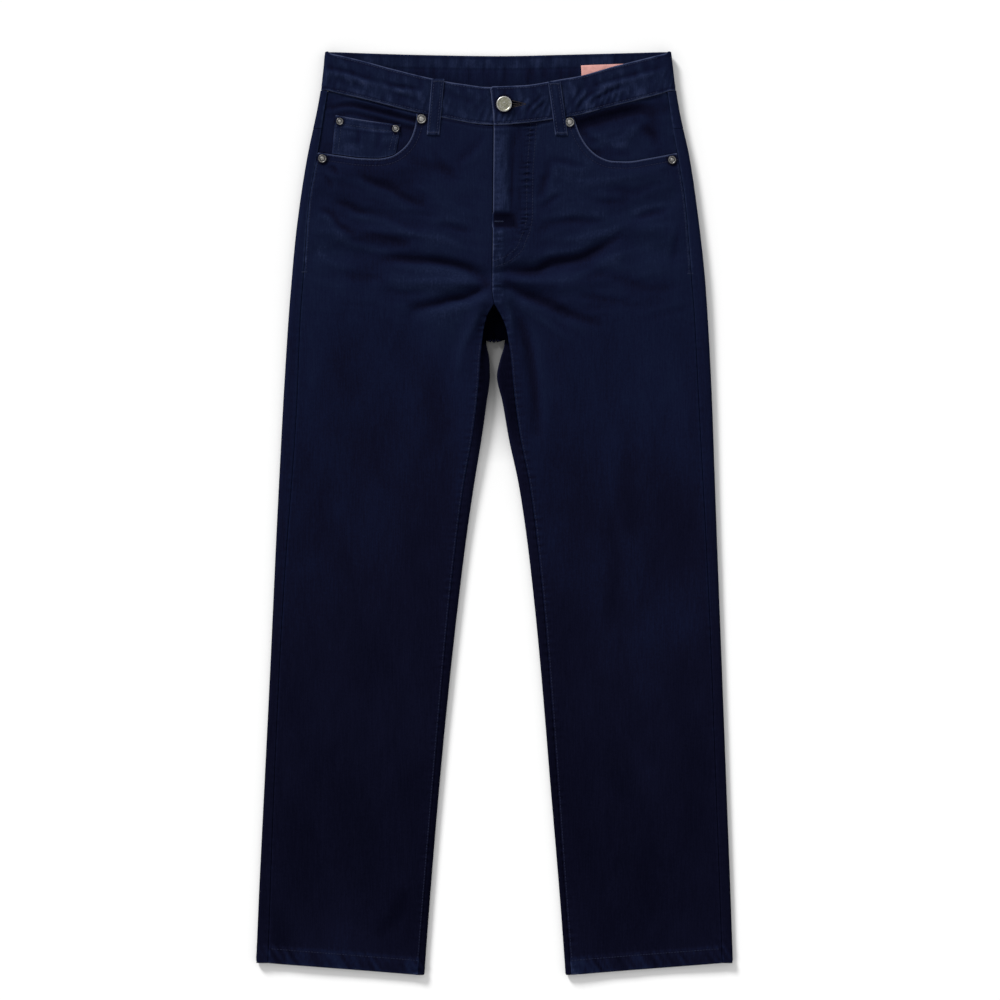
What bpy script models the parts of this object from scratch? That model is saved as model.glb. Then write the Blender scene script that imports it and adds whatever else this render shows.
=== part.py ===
"""Five-pocket straight-leg jeans in dark denim, laid flat on their back.

The garment lies waist up along +Y with its front up (+Z) and its back on the floor at z = 0. The origin is in the
middle of its bounding box, on the floor. The wearer's right leg is at -X. Tables are in millimetres, with Y up the
garment, and every mesh is made in metres. Each panel is a wall of cloth: a grid of points on its outer side, worked
out from the tables, and the same grid one cloth thickness further in.
"""

import math
from collections import namedtuple

import bmesh
import bpy
import numpy as np

# Driving dimensions
MM = 0.001
CLOTH = 1.2
HEM_THICKNESS = 2.4
HEM_DEPTH = 16.0
HEM_SIDE_Y = -488.5
HEM_INNER_Y = -501.5
BAND_THICKNESS = 2.6
BAND_PROUD = 0.7
SEAM_GAP = 0.3
LOOP_WIDTH = 13.5
LOOP_THICKNESS = 1.6
BUTTON_DIAMETER = 17.0
BUTTON_HEIGHT = 4.2
RIVET_HEIGHT = 1.7
LABEL_SIZE = (52.0, 31.0, 0.8)

# What lies under the back of the hips (pockets and loops) lifts the cloth there by its own thickness
BACK_LIFT = CLOTH + SEAM_GAP
LIFT_FULL_Y = 205.0
LIFT_NONE_Y = 150.0

# A pocket facing lies this far under the front panel's outer side
FACING_DROP = CLOTH + SEAM_GAP

CENTRE_BACK_X = -0.5
SIDES = ("right", "left")
SIGN = {"right": -1, "left": 1}

# Outlines and seams seen from above, with X for the wearer's right (-X) and left (+X)
Edge = namedtuple("Edge", "y right left")
OUTER_OUTLINE = [
    Edge(501.5, -185.0, 193.0),
    Edge(461.0, -189.5, 198.0),
    Edge(428.5, -196.0, 204.0),
    Edge(385.0, -204.0, 212.5),
    Edge(341.0, -211.0, 219.0),
    Edge(297.5, -216.5, 224.5),
    Edge(254.0, -220.5, 229.0),
    Edge(210.5, -224.0, 232.0),
    Edge(124.5, -229.5, 236.5),
    Edge(68.5, -232.5, 238.5),
    Edge(-29.5, -237.5, 242.0),
    Edge(-160.0, -243.5, 247.0),
    Edge(-291.0, -250.0, 252.0),
    Edge(-422.0, -256.5, 257.0),
    Edge(-489.0, -259.3, 259.3),
]
INNER_OUTLINE = [
    Edge(188.0, -9.5, 11.5),
    Edge(176.5, -7.0, 8.5),
    Edge(163.5, -5.0, 4.5),
    Edge(150.5, -5.0, 2.5),
    Edge(137.5, -6.5, 6.0),
    Edge(101.5, -12.0, 12.5),
    Edge(36.0, -22.5, 26.5),
    Edge(-29.5, -32.0, 36.5),
    Edge(-160.0, -47.5, 50.5),
    Edge(-291.0, -60.5, 61.5),
    Edge(-422.0, -71.5, 72.5),
    Edge(-502.5, -77.5, 78.5),
]
SIDE_SEAM = [
    Edge(461.0, -181.5, 188.0),
    Edge(423.0, -187.5, 193.5),
    Edge(392.5, -192.5, 199.0),
    Edge(370.0, -197.0, 203.0),
    Edge(341.0, -202.0, 207.5),
    Edge(265.0, -207.5, 214.0),
    Edge(213.5, -211.5, 218.0),
    Edge(117.5, -215.5, 223.0),
    Edge(-95.0, -230.5, 234.0),
    Edge(-277.0, -239.5, 241.0),
    Edge(-473.0, -246.5, 248.0),
    Edge(-489.0, -247.0, 248.5),
]
INSEAM = [
    Edge(228.0, -0.5, -0.5),
    Edge(216.0, -7.5, 6.5),
    Edge(201.5, -11.5, 12.5),
    Edge(185.5, -13.5, 15.5),
    Edge(168.0, -15.5, 18.0),
    Edge(149.5, -16.5, 19.5),
    Edge(121.0, -19.0, 22.5),
    Edge(82.0, -24.0, 28.0),
    Edge(31.5, -33.0, 38.0),
    Edge(-95.0, -48.5, 53.0),
    Edge(-240.0, -61.5, 64.5),
    Edge(-390.0, -74.0, 75.0),
    Edge(-502.0, -83.0, 83.5),
]
FLY_EDGE = [
    Edge(422.0, -1.0, -1.0),
    Edge(300.0, -2.0, -2.0),
    Edge(243.0, -2.5, -2.5),
    Edge(228.0, -0.5, -0.5),
]

# Rows of the front, from the waist seam to the hem. side_y and inner_y are where the row meets the side seam and
# the fly edge or inseam, and the three heights are of the outer side of the cloth
FrontRow = namedtuple("FrontRow", "side_y inner_y side_z mid_z inner_z")
FRONT_ROWS = [
    FrontRow(461.0, 421.5, 12.5, 14.0, 14.5),
    FrontRow(392.5, 372.0, 12.5, 14.5, 15.5),
    FrontRow(335.5, 322.0, 12.5, 14.5, 16.0),
    FrontRow(278.0, 272.0, 12.5, 14.5, 16.5),
    FrontRow(231.0, 228.0, 11.8, 14.5, 17.0),
    FrontRow(221.5, 216.0, 11.5, 14.0, 14.5),
    FrontRow(208.0, 201.5, 11.2, 13.2, 12.8),
    FrontRow(191.0, 185.5, 10.8, 12.2, 11.8),
    FrontRow(171.0, 168.0, 10.4, 11.0, 11.0),
    FrontRow(151.5, 149.5, 10.1, 10.0, 10.5),
    FrontRow(123.0, 121.0, 9.8, 8.8, 10.0),
    FrontRow(85.0, 82.0, 9.2, 7.4, 9.4),
    FrontRow(36.0, 31.5, 8.7, 6.6, 8.8),
    FrontRow(-18.5, -27.0, 8.4, 6.2, 8.4),
    FrontRow(-84.0, -95.0, 8.1, 6.0, 8.1),
    FrontRow(-149.5, -162.0, 7.9, 5.9, 7.9),
    FrontRow(-214.5, -227.0, 7.7, 5.8, 7.6),
    FrontRow(-280.0, -293.0, 7.4, 5.8, 7.4),
    FrontRow(-345.5, -358.5, 7.2, 5.8, 7.2),
    FrontRow(-411.0, -424.0, 7.0, 5.8, 7.0),
    FrontRow(HEM_SIDE_Y + HEM_DEPTH + CLOTH, HEM_INNER_Y + HEM_DEPTH + CLOTH, 6.8, 5.8, 6.8),
    FrontRow(HEM_SIDE_Y + HEM_DEPTH, HEM_INNER_Y + HEM_DEPTH, 6.8, 5.8, 6.8),
    FrontRow(HEM_SIDE_Y, HEM_INNER_Y, 6.8, 5.8, 6.8),
]
CROTCH_Y = 228.0

# Rows of the front panels above the crotch, and how much of the pocket scoop's shape each still follows
PanelRow = namedtuple("PanelRow", "side_y inner_y scoop_share")
FRONT_PANEL_TOP_ROWS = [
    PanelRow(392.5, 421.5, 1.0),
    PanelRow(379.0, 399.0, 0.58),
    PanelRow(365.0, 377.0, 0.28),
    PanelRow(350.0, 355.0, 0.08),
    PanelRow(335.5, 334.0, 0.0),
    PanelRow(320.0, 314.0, 0.0),
    PanelRow(306.5, 296.0, 0.0),
    PanelRow(293.0, 281.0, 0.0),
    PanelRow(281.0, 268.0, 0.0),
    PanelRow(268.0, 257.0, 0.0),
    PanelRow(256.0, 247.0, 0.0),
    PanelRow(243.0, 237.5, 0.0),
]
WAIST_COLUMNS = 7
SCOOP_COLUMNS = 13

# The pocket mouth of each front panel, from the waist seam down and out to the side seam
Point = namedtuple("Point", "x y")
SCOOP = {
    "right": [
        Point(-85.0, 436.0),
        Point(-85.5, 428.5),
        Point(-88.0, 416.5),
        Point(-93.0, 405.0),
        Point(-101.5, 395.5),
        Point(-113.0, 388.5),
        Point(-127.5, 386.0),
        Point(-145.0, 386.5),
        Point(-168.5, 389.5),
        Point(-192.5, 393.0),
    ],
    "left": [
        Point(86.0, 432.0),
        Point(88.0, 426.5),
        Point(93.0, 413.0),
        Point(102.5, 398.0),
        Point(115.5, 387.5),
        Point(128.0, 383.5),
        Point(144.0, 383.0),
        Point(168.0, 386.5),
        Point(199.0, 392.5),
    ],
}

# Rows of the back, from the band to the fold under the crotch: seam_y is on the centre-back seam
BackRow = namedtuple("BackRow", "side_y seam_y")
BACK_FLAT_ROWS = [
    BackRow(459.0, 458.4),
    BackRow(440.0, 422.0),
    BackRow(419.0, 386.0),
    BackRow(392.5, 354.0),
    BackRow(365.0, 323.0),
    BackRow(350.0, 308.0),
    BackRow(335.5, 293.0),
    BackRow(306.5, 267.0),
    BackRow(281.0, 244.0),
    BackRow(262.0, 225.0),
    BackRow(251.0, 206.0),
]
YOKE_ROWS = 2

# Rows where the back folds up under the crotch and round each inner leg edge. fold_turn is 0 where the fold faces
# the hem and 90 where it faces the other leg, and foot_z is where the steep wall under the crotch point ends
FoldRow = namedtuple("FoldRow", "side_y seam_y seam_z fold_right fold_left fold_y fold_turn fold_height foot_z")
FOLD_ROWS = [
    FoldRow(239.0, 203.0, 5.9, -3.0, 2.0, 188.5, 0, 4.4, 5.7),
    FoldRow(235.5, 218.0, 6.6, -5.0, 4.5, 188.5, 0, 4.4, 6.0),
    FoldRow(231.0, 228.0, 17.0, -6.6, 7.0, 188.5, 0, 4.4, 6.6),
    FoldRow(221.5, 216.0, 14.5, -7.9, 9.2, 188.5, 0, 4.4, 6.2),
    FoldRow(208.0, 201.5, 12.8, -9.0, 11.2, 188.8, 35, 4.4, 5.8),
    FoldRow(191.0, 185.5, 11.8, -8.6, 10.6, 183.0, 75, 4.8, 6.0),
    FoldRow(171.0, 168.0, 11.0, -5.6, 6.0, 167.0, 90, 6.2, 7.4),
    FoldRow(151.5, 149.5, 10.5, -5.0, 2.6, 149.5, 90, 7.8, 8.8),
]
CENTRE_FOLD_ROWS = 3
OUTER_FOLD_STEPS = 5
INNER_FOLD_STEPS = 4
FLOOR_COLUMNS = 6
# Where the floor part of a back row ends: on the seat's flat rows, and on the last row over the fold
SEAT_FLOOR_X = 62.0
SEAT_ROW_TILT = 0.3
FOLD_FLOOR_X = 34.0
FOLD_FLOOR_RISE = 14.0
FOLD_FLAT_LENGTH = 6.0
FOOT_LENGTH = 3.2

# The largest folds and the raised strip over the zip: soft ridges (+) and troughs (-) of the front, in plan
Fold = namedtuple("Fold", "x0 y0 x1 y1 x2 y2 width height")
FOLDS = [
    Fold(-11, 257, -59, 271, -103, 277, 8.5, -5.0),
    Fold(-16, 242, -59, 227, -84, 218, 8.0, -4.5),
    Fold(-14, 249, -62, 250, -120, 254, 7.0, 2.5),
    Fold(10, 264, 70, 268, 118, 288, 8.5, -5.0),
    Fold(15, 244, 50, 232, 76, 213, 8.0, -4.5),
    Fold(13, 254, 72, 247, 125, 255, 7.0, 2.5),
    Fold(21, 227, 37, 190, 47, 90, 7.5, -4.0),
    Fold(-16, 229, -24, 200, -34, 160, 8.0, 3.5),
    Fold(18, 212, 18, 190, 17, 165, 5.5, 1.5),
    Fold(-60, 215, -70, 150, -78, 60, 15.0, 1.5),
    Fold(60, 215, 80, 150, 88, 60, 15.0, 1.5),
    Fold(-190, 345, -140, 322, -80, 318, 10.0, -2.0),
    Fold(-195, 310, -140, 300, -75, 306, 9.0, 1.6),
    Fold(-200, 285, -150, 283, -110, 290, 9.0, -1.8),
    Fold(200, 345, 150, 325, 90, 318, 10.0, -2.0),
    Fold(205, 305, 150, 312, 95, 330, 9.0, 1.6),
    Fold(205, 280, 160, 290, 120, 305, 9.0, -1.8),
    Fold(-170, 372, -120, 370, -75, 380, 8.0, 1.4),
    Fold(178, 370, 130, 368, 85, 378, 8.0, 1.4),
    Fold(9, 412, 9, 370, 9, 330, 8.5, 1.3),
    Fold(6, 318, 14, 317, 20, 317, 8.0, -2.2),
    Fold(-150, -120, -155, -190, -140, -250, 26.0, 1.0),
    Fold(150, 30, 152, -60, 165, -150, 24.0, 1.0),
    Fold(105, -60, 112, -160, 125, -260, 18.0, -0.7),
]
FOLD_FADE_WIDTH = 14.0

# The fly: the left front laps over the right one by this much at each height
LapStep = namedtuple("LapStep", "y rise")
FLY_LAP = [LapStep(422.0, 3.1), LapStep(400.0, 2.4), LapStep(330.0, 1.7), LapStep(280.0, 1.2), LapStep(243.0, 0.0)]
FLY_LAP_WIDTH = 26.0

# Waistband edges, seen from above
FRONT_BAND_TOP = [
    Point(-179.0, 501.0),
    Point(-145.5, 493.0),
    Point(-110.5, 483.5),
    Point(-67.0, 473.0),
    Point(-37.5, 467.5),
    Point(-5.5, 464.3),
    Point(32.0, 465.5),
    Point(73.5, 472.5),
    Point(94.5, 476.3),
    Point(128.0, 486.0),
    Point(159.5, 494.0),
    Point(187.0, 501.0),
]
FRONT_BAND_BOTTOM = [
    Point(-188.0, 461.5),
    Point(-139.0, 450.0),
    Point(-84.5, 436.3),
    Point(-58.5, 431.0),
    Point(-1.0, 422.0),
    Point(32.0, 424.5),
    Point(62.5, 428.5),
    Point(87.5, 432.5),
    Point(128.0, 443.0),
    Point(159.5, 450.8),
    Point(196.0, 461.0),
]
BACK_BAND_TOP = [Point(-184.0, 501.5), Point(-67.0, 498.0), Point(6.0, 497.0), Point(76.0, 498.5), Point(192.5, 501.5)]
BACK_BAND_BOTTOM = [Point(-189.0, 461.0), Point(4.0, 459.0), Point(197.5, 461.0)]
LAP_END_X = (-4.6, -0.6)
UNDERLAP_END_X = 33.0
UNDERLAP_LOWERED = 0.6
UNDERLAP_FROM = (-30.0, -5.0)
LAP_CLEARANCE = 3.1
LAP_FADE = (36.0, 80.0)
# The lapped end follows the other side's cloth at the fly, and its own side's from this far out
LAP_OWN_CLOTH_X = 60.0
FLY_SIDE_X = -1.0
WAIST_SEAM_Y = 421.5
BAND_FRONT_COLUMNS = 19
BAND_BACK_COLUMNS = 12
BAND_ROWS = 3
BAND_PUCKERS = [
    Fold(80, 470, 88, 450, 96, 436, 4.0, 1.4),
    Fold(93, 474, 100, 456, 106, 440, 3.5, -1.2),
    Fold(108, 480, 114, 462, 120, 446, 4.5, 1.0),
]

# Hardware, by its centre and diameter
Stud = namedtuple("Stud", "name side x y diameter")
RIVETS = [
    Stud("rivet_pocket_right_inner", "right", -79.5, 429.0, 10.4),
    Stud("rivet_pocket_right_outer", "right", -187.5, 386.0, 9.4),
    Stud("rivet_pocket_left_inner", "left", 82.0, 425.5, 10.2),
    Stud("rivet_pocket_left_outer", "left", 193.5, 384.5, 9.0),
]
COIN_RIVETS = [
    Stud("rivet_coin_outer", "right", -168.5, 426.5, 8.0),
    Stud("rivet_coin_inner", "right", -107.5, 418.5, 8.0),
]
BUTTON = Stud("waist_button", "left", 10.5, 444.7, BUTTON_DIAMETER)

# Belt loops: the front two follow the band, the back three lie flat under it
Loop = namedtuple("Loop", "name side top_x top_y bottom_x bottom_y")
FRONT_LOOPS = [
    Loop("belt_loop_front_right", "right", -61.5, 472.5, -67.0, 411.5),
    Loop("belt_loop_front_left", "left", 65.0, 469.5, 73.0, 411.0),
]
BACK_LOOP_X = (-122.0, 4.0, 130.0)
BACK_LOOP_Y = (442.0, 495.0)

# Back pockets: a plain patch with a pointed lower edge
BACK_POCKET_X = 112.0
BACK_POCKET_TOP_Y = 372.0
BACK_POCKET_WIDTH = (146.0, 126.0)
BACK_POCKET_SIDE = 138.0
BACK_POCKET_POINT = 160.0

COIN_POCKET = {
    "top": (Point(-173.0, 433.5), Point(-102.0, 423.0)),
    "bottom": (Point(-177.0, 391.5), Point(-107.5, 392.5)),
}
LABEL_CORNER = Point(94.5, 488.5)
LABEL_TILT = math.radians(2.2)

Finish = namedtuple("Finish", "name colour roughness metallic")
DENIM = Finish("denim", (0.0065, 0.009, 0.03), 0.9, 0.0)
METAL = Finish("pewter_metal", (0.42, 0.41, 0.4), 0.35, 1.0)
LABEL = Finish("label_cloth", (0.62, 0.33, 0.29), 0.8, 0.0)


def smooth(points, at):
    """A curve through (station, value) pairs, with slopes limited so that it never overshoots."""
    pairs = sorted(points)
    xs = np.array([p[0] for p in pairs], float)
    ys = np.array([p[1] for p in pairs], float)
    step = np.diff(xs)
    rise = np.diff(ys) / step
    slope = np.zeros(len(xs))
    slope[0] = rise[0]
    slope[-1] = rise[-1]
    same_way = rise[:-1] * rise[1:] > 0
    weight_a = 2 * step[1:] + step[:-1]
    weight_b = step[1:] + 2 * step[:-1]
    inner = np.zeros(len(same_way))
    inner[same_way] = (weight_a + weight_b)[same_way] / (
        weight_a[same_way] / rise[:-1][same_way] + weight_b[same_way] / rise[1:][same_way]
    )
    slope[1:-1] = inner
    at = np.clip(np.asarray(at, float), xs[0], xs[-1])
    k = np.clip(np.searchsorted(xs, at, side="right") - 1, 0, len(step) - 1)
    t = (at - xs[k]) / step[k]
    keep = (1 + 2 * t) * (1 - t) ** 2 * ys[k] + t * t * (3 - 2 * t) * ys[k + 1]
    bend = t * (1 - t) ** 2 * slope[k] - t * t * (1 - t) * slope[k + 1]
    return keep + bend * step[k]


def step_up(value, low, high):
    """0 below low and 1 above high, with a soft step between."""
    t = np.clip((np.asarray(value, float) - low) / (high - low), 0.0, 1.0)
    return t * t * (3 - 2 * t)


def edge_x(table, side, y):
    return smooth([(row.y, getattr(row, side)) for row in table], y)


def curve_y(points, x):
    return smooth([(p.x, p.y) for p in points], x)


def lift(y):
    """Height of the back cloth's outer side over the floor."""
    return BACK_LIFT * step_up(y, LIFT_NONE_Y, LIFT_FULL_Y)


def inner_x(side, y):
    """The front panel's inner edge: the fly edge above the crotch and the inseam below it."""
    y = np.asarray(y, float)
    return np.where(y >= CROTCH_Y, edge_x(FLY_EDGE, side, y), edge_x(INSEAM, side, y))


def fold_relief(folds, x, y):
    """The soft ridges and troughs of a table of folds, each along a bent line with tapered ends."""
    x = np.asarray(x, float)
    y = np.asarray(y, float)
    total = np.zeros(np.broadcast(x, y).shape)
    for fold in folds:
        ends = [(fold.x0, fold.y0, fold.x1, fold.y1, 0.0), (fold.x1, fold.y1, fold.x2, fold.y2, 0.5)]
        best = np.full(total.shape, np.inf)
        along = np.zeros(total.shape)
        for xa, ya, xb, yb, start in ends:
            length = math.hypot(xb - xa, yb - ya)
            t = ((x - xa) * (xb - xa) + (y - ya) * (yb - ya)) / length**2
            t = np.clip(t, 0.0, 1.0)
            far = np.hypot(x - xa - t * (xb - xa), y - ya - t * (yb - ya))
            nearer = far < best
            best = np.where(nearer, far, best)
            along = np.where(nearer, start + 0.5 * t, along)
        taper = 0.45 + 0.55 * np.sin(math.pi * np.clip(along + 0.25, 0, 1))
        total += fold.height * taper * np.exp(-((best / fold.width) ** 2))
    return total


def row_profile(row, share):
    """Height across one row, from the inner edge (0) to the side seam (1)."""
    near = 0.55
    heights = [
        (0.0, row.inner_z),
        (0.18, near * row.mid_z + (1 - near) * row.inner_z),
        (0.5, row.mid_z),
        (0.82, near * row.mid_z + (1 - near) * row.side_z),
        (1.0, row.side_z),
    ]
    return smooth(heights, share)


def top_height(side, x, y):
    """Height of the front's outer side at a place in plan: the rows' profiles, the fly's lap and the folds."""
    x = np.asarray(x, float)
    y = np.asarray(y, float)
    ys = []
    zs = []
    for row in FRONT_ROWS:
        x_in = float(inner_x(side, row.inner_y))
        x_out = float(edge_x(SIDE_SEAM, side, row.side_y))
        share = np.clip((x - x_in) / (x_out - x_in), 0.0, 1.0)
        ys.append(row.inner_y + share * (row.side_y - row.inner_y))
        zs.append(row_profile(row, share))
    ys = np.array(ys)
    zs = np.array(zs)
    height = zs[0].copy()
    for k in range(len(FRONT_ROWS) - 1):
        t = np.clip((ys[k] - y) / (ys[k] - ys[k + 1]), 0.0, 1.0)
        height = np.where(y < ys[k], zs[k] + (zs[k + 1] - zs[k]) * t, height)
    reach = np.abs(x - edge_x(SIDE_SEAM, side, y))
    fade = step_up(reach, 0.0, FOLD_FADE_WIDTH)
    below = step_up(CROTCH_Y - y, 0.0, 10.0)
    from_inseam = step_up(np.abs(x - inner_x(side, y)), 0.0, 0.6 * FOLD_FADE_WIDTH)
    fade = fade * (1 - below + below * from_inseam)
    height = height + fade * fold_relief(FOLDS, x, y)
    if side == "left":
        rise = np.interp(y, [s.y for s in reversed(FLY_LAP)], [s.rise for s in reversed(FLY_LAP)])
        height = height + rise * (1 - step_up(x, 0.3 * FLY_LAP_WIDTH, 1.6 * FLY_LAP_WIDTH))
    return height


def at_top(side, x, y, drop=0.0):
    """Points on the front's outer side, or drop below it."""
    x = np.asarray(x, float)
    y = np.asarray(y, float)
    return np.stack([x, y, top_height(side, x, y) - drop], axis=-1)


def along(points, shares):
    """Points at shares of the length of a bent line."""
    pts = np.array(points, float)
    reach = np.concatenate([[0.0], np.cumsum(np.linalg.norm(np.diff(pts, axis=0), axis=1))])
    reach /= reach[-1]
    return np.stack([np.interp(shares, reach, pts[:, k]) for k in range(pts.shape[1])], axis=-1)


def grid_normals(grid, facing):
    """Unit normals of a grid of points. facing is +1 or -1, for the side that is out."""
    by_row = np.gradient(grid, axis=0)
    by_column = np.gradient(grid, axis=1)
    normals = facing * np.cross(by_row, by_column)
    return normals / np.maximum(np.linalg.norm(normals, axis=-1, keepdims=True), 1e-9)


def pull_in(grid, normals, first_row=0.0, last_row=0.0, first_column=0.0, last_column=0.0):
    """Moves the edges of a grid inwards, square to the edge and to its normals, to leave the gap of a seam."""
    grid = grid.copy()

    def shift(edge, inside, edge_normals, amount):
        inward = np.cross(np.gradient(edge, axis=0), edge_normals)
        inward *= np.sign(np.sum(inward * (inside - edge), axis=-1, keepdims=True))
        return edge + amount * inward / np.maximum(np.linalg.norm(inward, axis=-1, keepdims=True), 1e-9)

    if first_column:
        grid[:, 0] = shift(grid[:, 0], grid[:, 1], normals[:, 0], first_column)
    if last_column:
        grid[:, -1] = shift(grid[:, -1], grid[:, -2], normals[:, -1], last_column)
    if first_row:
        grid[0] = shift(grid[0], grid[1], normals[0], first_row)
    if last_row:
        grid[-1] = shift(grid[-1], grid[-2], normals[-1], last_row)
    return grid


def finish_material(finish):
    made = bpy.data.materials.get(finish.name)
    if made:
        return made
    made = bpy.data.materials.new(finish.name)
    made.use_nodes = True
    shader = made.node_tree.nodes["Principled BSDF"]
    shader.inputs["Base Color"].default_value = (*finish.colour, 1.0)
    shader.inputs["Roughness"].default_value = finish.roughness
    shader.inputs["Metallic"].default_value = finish.metallic
    return made


def add_object(name, mesh_builder, finish):
    """Makes a mesh object from a bmesh and puts it in the garment's collection."""
    bmesh.ops.recalc_face_normals(mesh_builder, faces=mesh_builder.faces)
    mesh = bpy.data.meshes.new(name)
    mesh_builder.to_mesh(mesh)
    mesh_builder.free()
    mesh.shade_smooth()
    mesh.set_sharp_from_angle(angle=math.radians(40))
    obj = bpy.data.objects.new(name, mesh)
    # A copy of the finish for each piece keeps every object's material its own
    obj.data.materials.append(finish_material(finish._replace(name=f"{finish.name}_{name}")))
    GARMENT.objects.link(obj)
    return obj


def shell(name, outer, normals, thickness, finish=DENIM):
    """A closed wall of cloth between a grid of outer points and the same grid one thickness further in."""
    rows, columns = outer.shape[:2]
    deep = np.broadcast_to(np.asarray(thickness, float), (rows, columns))[..., None]
    inner = outer - normals * deep
    builder = bmesh.new()
    skins = []
    for grid in (outer, inner):
        skins.append([[builder.verts.new(grid[r, c] * MM) for c in range(columns)] for r in range(rows)])
    for skin in skins:
        for r in range(rows - 1):
            for c in range(columns - 1):
                builder.faces.new((skin[r][c], skin[r][c + 1], skin[r + 1][c + 1], skin[r + 1][c]))
    rim = [(0, c) for c in range(columns)]
    rim += [(r, columns - 1) for r in range(1, rows)]
    rim += [(rows - 1, c) for c in range(columns - 2, -1, -1)]
    rim += [(r, 0) for r in range(rows - 2, 0, -1)]
    for (r0, c0), (r1, c1) in zip(rim, rim[1:] + rim[:1]):
        builder.faces.new((skins[0][r0][c0], skins[0][r1][c1], skins[1][r1][c1], skins[1][r0][c0]))
    return add_object(name, builder, finish)


def plate(name, outline, base_z, thickness, finish=DENIM):
    """A flat piece: an outline in plan, given a thickness upwards."""
    builder = bmesh.new()
    face = builder.faces.new([builder.verts.new((x * MM, y * MM, base_z * MM)) for x, y in outline])
    raised = bmesh.ops.extrude_face_region(builder, geom=[face])["geom"]
    moved = [item for item in raised if isinstance(item, bmesh.types.BMVert)]
    bmesh.ops.translate(builder, verts=moved, vec=(0, 0, thickness * MM))
    return add_object(name, builder, finish)


def front_panel_grid(side):
    """Outer points of a front panel, with a row for each station from the waist and pocket mouth to the hem."""
    columns = WAIST_COLUMNS + SCOOP_COLUMNS
    share = np.linspace(0.0, 1.0, columns + 1)
    fly_x = float(inner_x(side, 421.5))
    corner = SCOOP[side][0]
    waist_x = np.linspace(fly_x, corner.x, WAIST_COLUMNS + 1)
    waist = np.stack([waist_x, curve_y(FRONT_BAND_BOTTOM, waist_x)], axis=-1)
    mouth = along(SCOOP[side], np.linspace(0.0, 1.0, SCOOP_COLUMNS + 1))
    top_edge = np.concatenate([waist, mouth[1:]])

    def line(side_y, inner_y):
        start = np.array([float(inner_x(side, inner_y)), inner_y])
        end = np.array([float(edge_x(SIDE_SEAM, side, side_y)), side_y])
        return start + share[:, None] * (end - start)

    first = FRONT_PANEL_TOP_ROWS[0]
    offset = top_edge - line(first.side_y, first.inner_y)
    rows = [line(row.side_y, row.inner_y) + row.scoop_share * offset for row in FRONT_PANEL_TOP_ROWS]
    rows += [line(row.side_y, row.inner_y) for row in FRONT_ROWS if row.inner_y <= CROTCH_Y]
    plan = np.array(rows)
    return at_top(side, plan[..., 0], plan[..., 1])


def outer_fold(side, y, seam_z):
    """From the side seam over the side's rounded fold and down to the floor, for the back's first columns."""
    sign = SIGN[side]
    base = float(lift(y))
    radius = (seam_z - base) / 2
    seam_x = float(edge_x(SIDE_SEAM, side, y))
    crest_x = float(edge_x(OUTER_OUTLINE, side, y)) - sign * radius
    points = [(seam_x, y, seam_z)]
    for k in range(OUTER_FOLD_STEPS + 1):
        turn = math.pi * k / OUTER_FOLD_STEPS
        points.append((crest_x + sign * radius * math.sin(turn), y, base + radius * (1 + math.cos(turn))))
    return points


def inner_fold(side, row):
    """From the floor round the inner fold and up to the seam, for the back's last columns."""
    sign = SIGN[side]
    turn = math.radians(row.fold_turn)
    facing = np.array([-sign * math.sin(turn), -math.cos(turn)])
    edge = np.array([row.fold_right if side == "right" else row.fold_left, row.fold_y])
    base = float(lift(row.fold_y))
    radius = row.fold_height / 2
    centre = edge - facing * radius
    points = [(*(centre - facing * FOLD_FLAT_LENGTH), base)]
    for k in range(INNER_FOLD_STEPS + 1):
        bend = math.pi * k / INNER_FOLD_STEPS
        place = centre + facing * radius * math.sin(bend)
        points.append((*place, base + radius * (1 - math.cos(bend))))
    on_centre = row in FOLD_ROWS[:CENTRE_FOLD_ROWS]
    seam_x = CENTRE_BACK_X if on_centre else float(edge_x(INSEAM, side, row.seam_y))
    seam = np.array([seam_x, row.seam_y])
    foot_share = FOOT_LENGTH / max(float(np.linalg.norm(centre - seam)), FOLD_FLAT_LENGTH)
    points.append((*(seam + foot_share * (centre - seam)), row.foot_z))
    points.append((*seam, row.seam_z))
    return points


def leg_fold_rows():
    """The leg's rows below the crotch, where the fold is as high as the inseam."""
    rows = []
    for row in FRONT_ROWS:
        if row.inner_y < FOLD_ROWS[-1].seam_y - 1:
            edges = [float(edge_x(INNER_OUTLINE, side, row.inner_y)) for side in SIDES]
            height = row.inner_z - 0.15
            rows.append(FoldRow(row.side_y, row.inner_y, row.inner_z, *edges, row.inner_y, 90, height, row.inner_z))
    return rows


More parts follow.
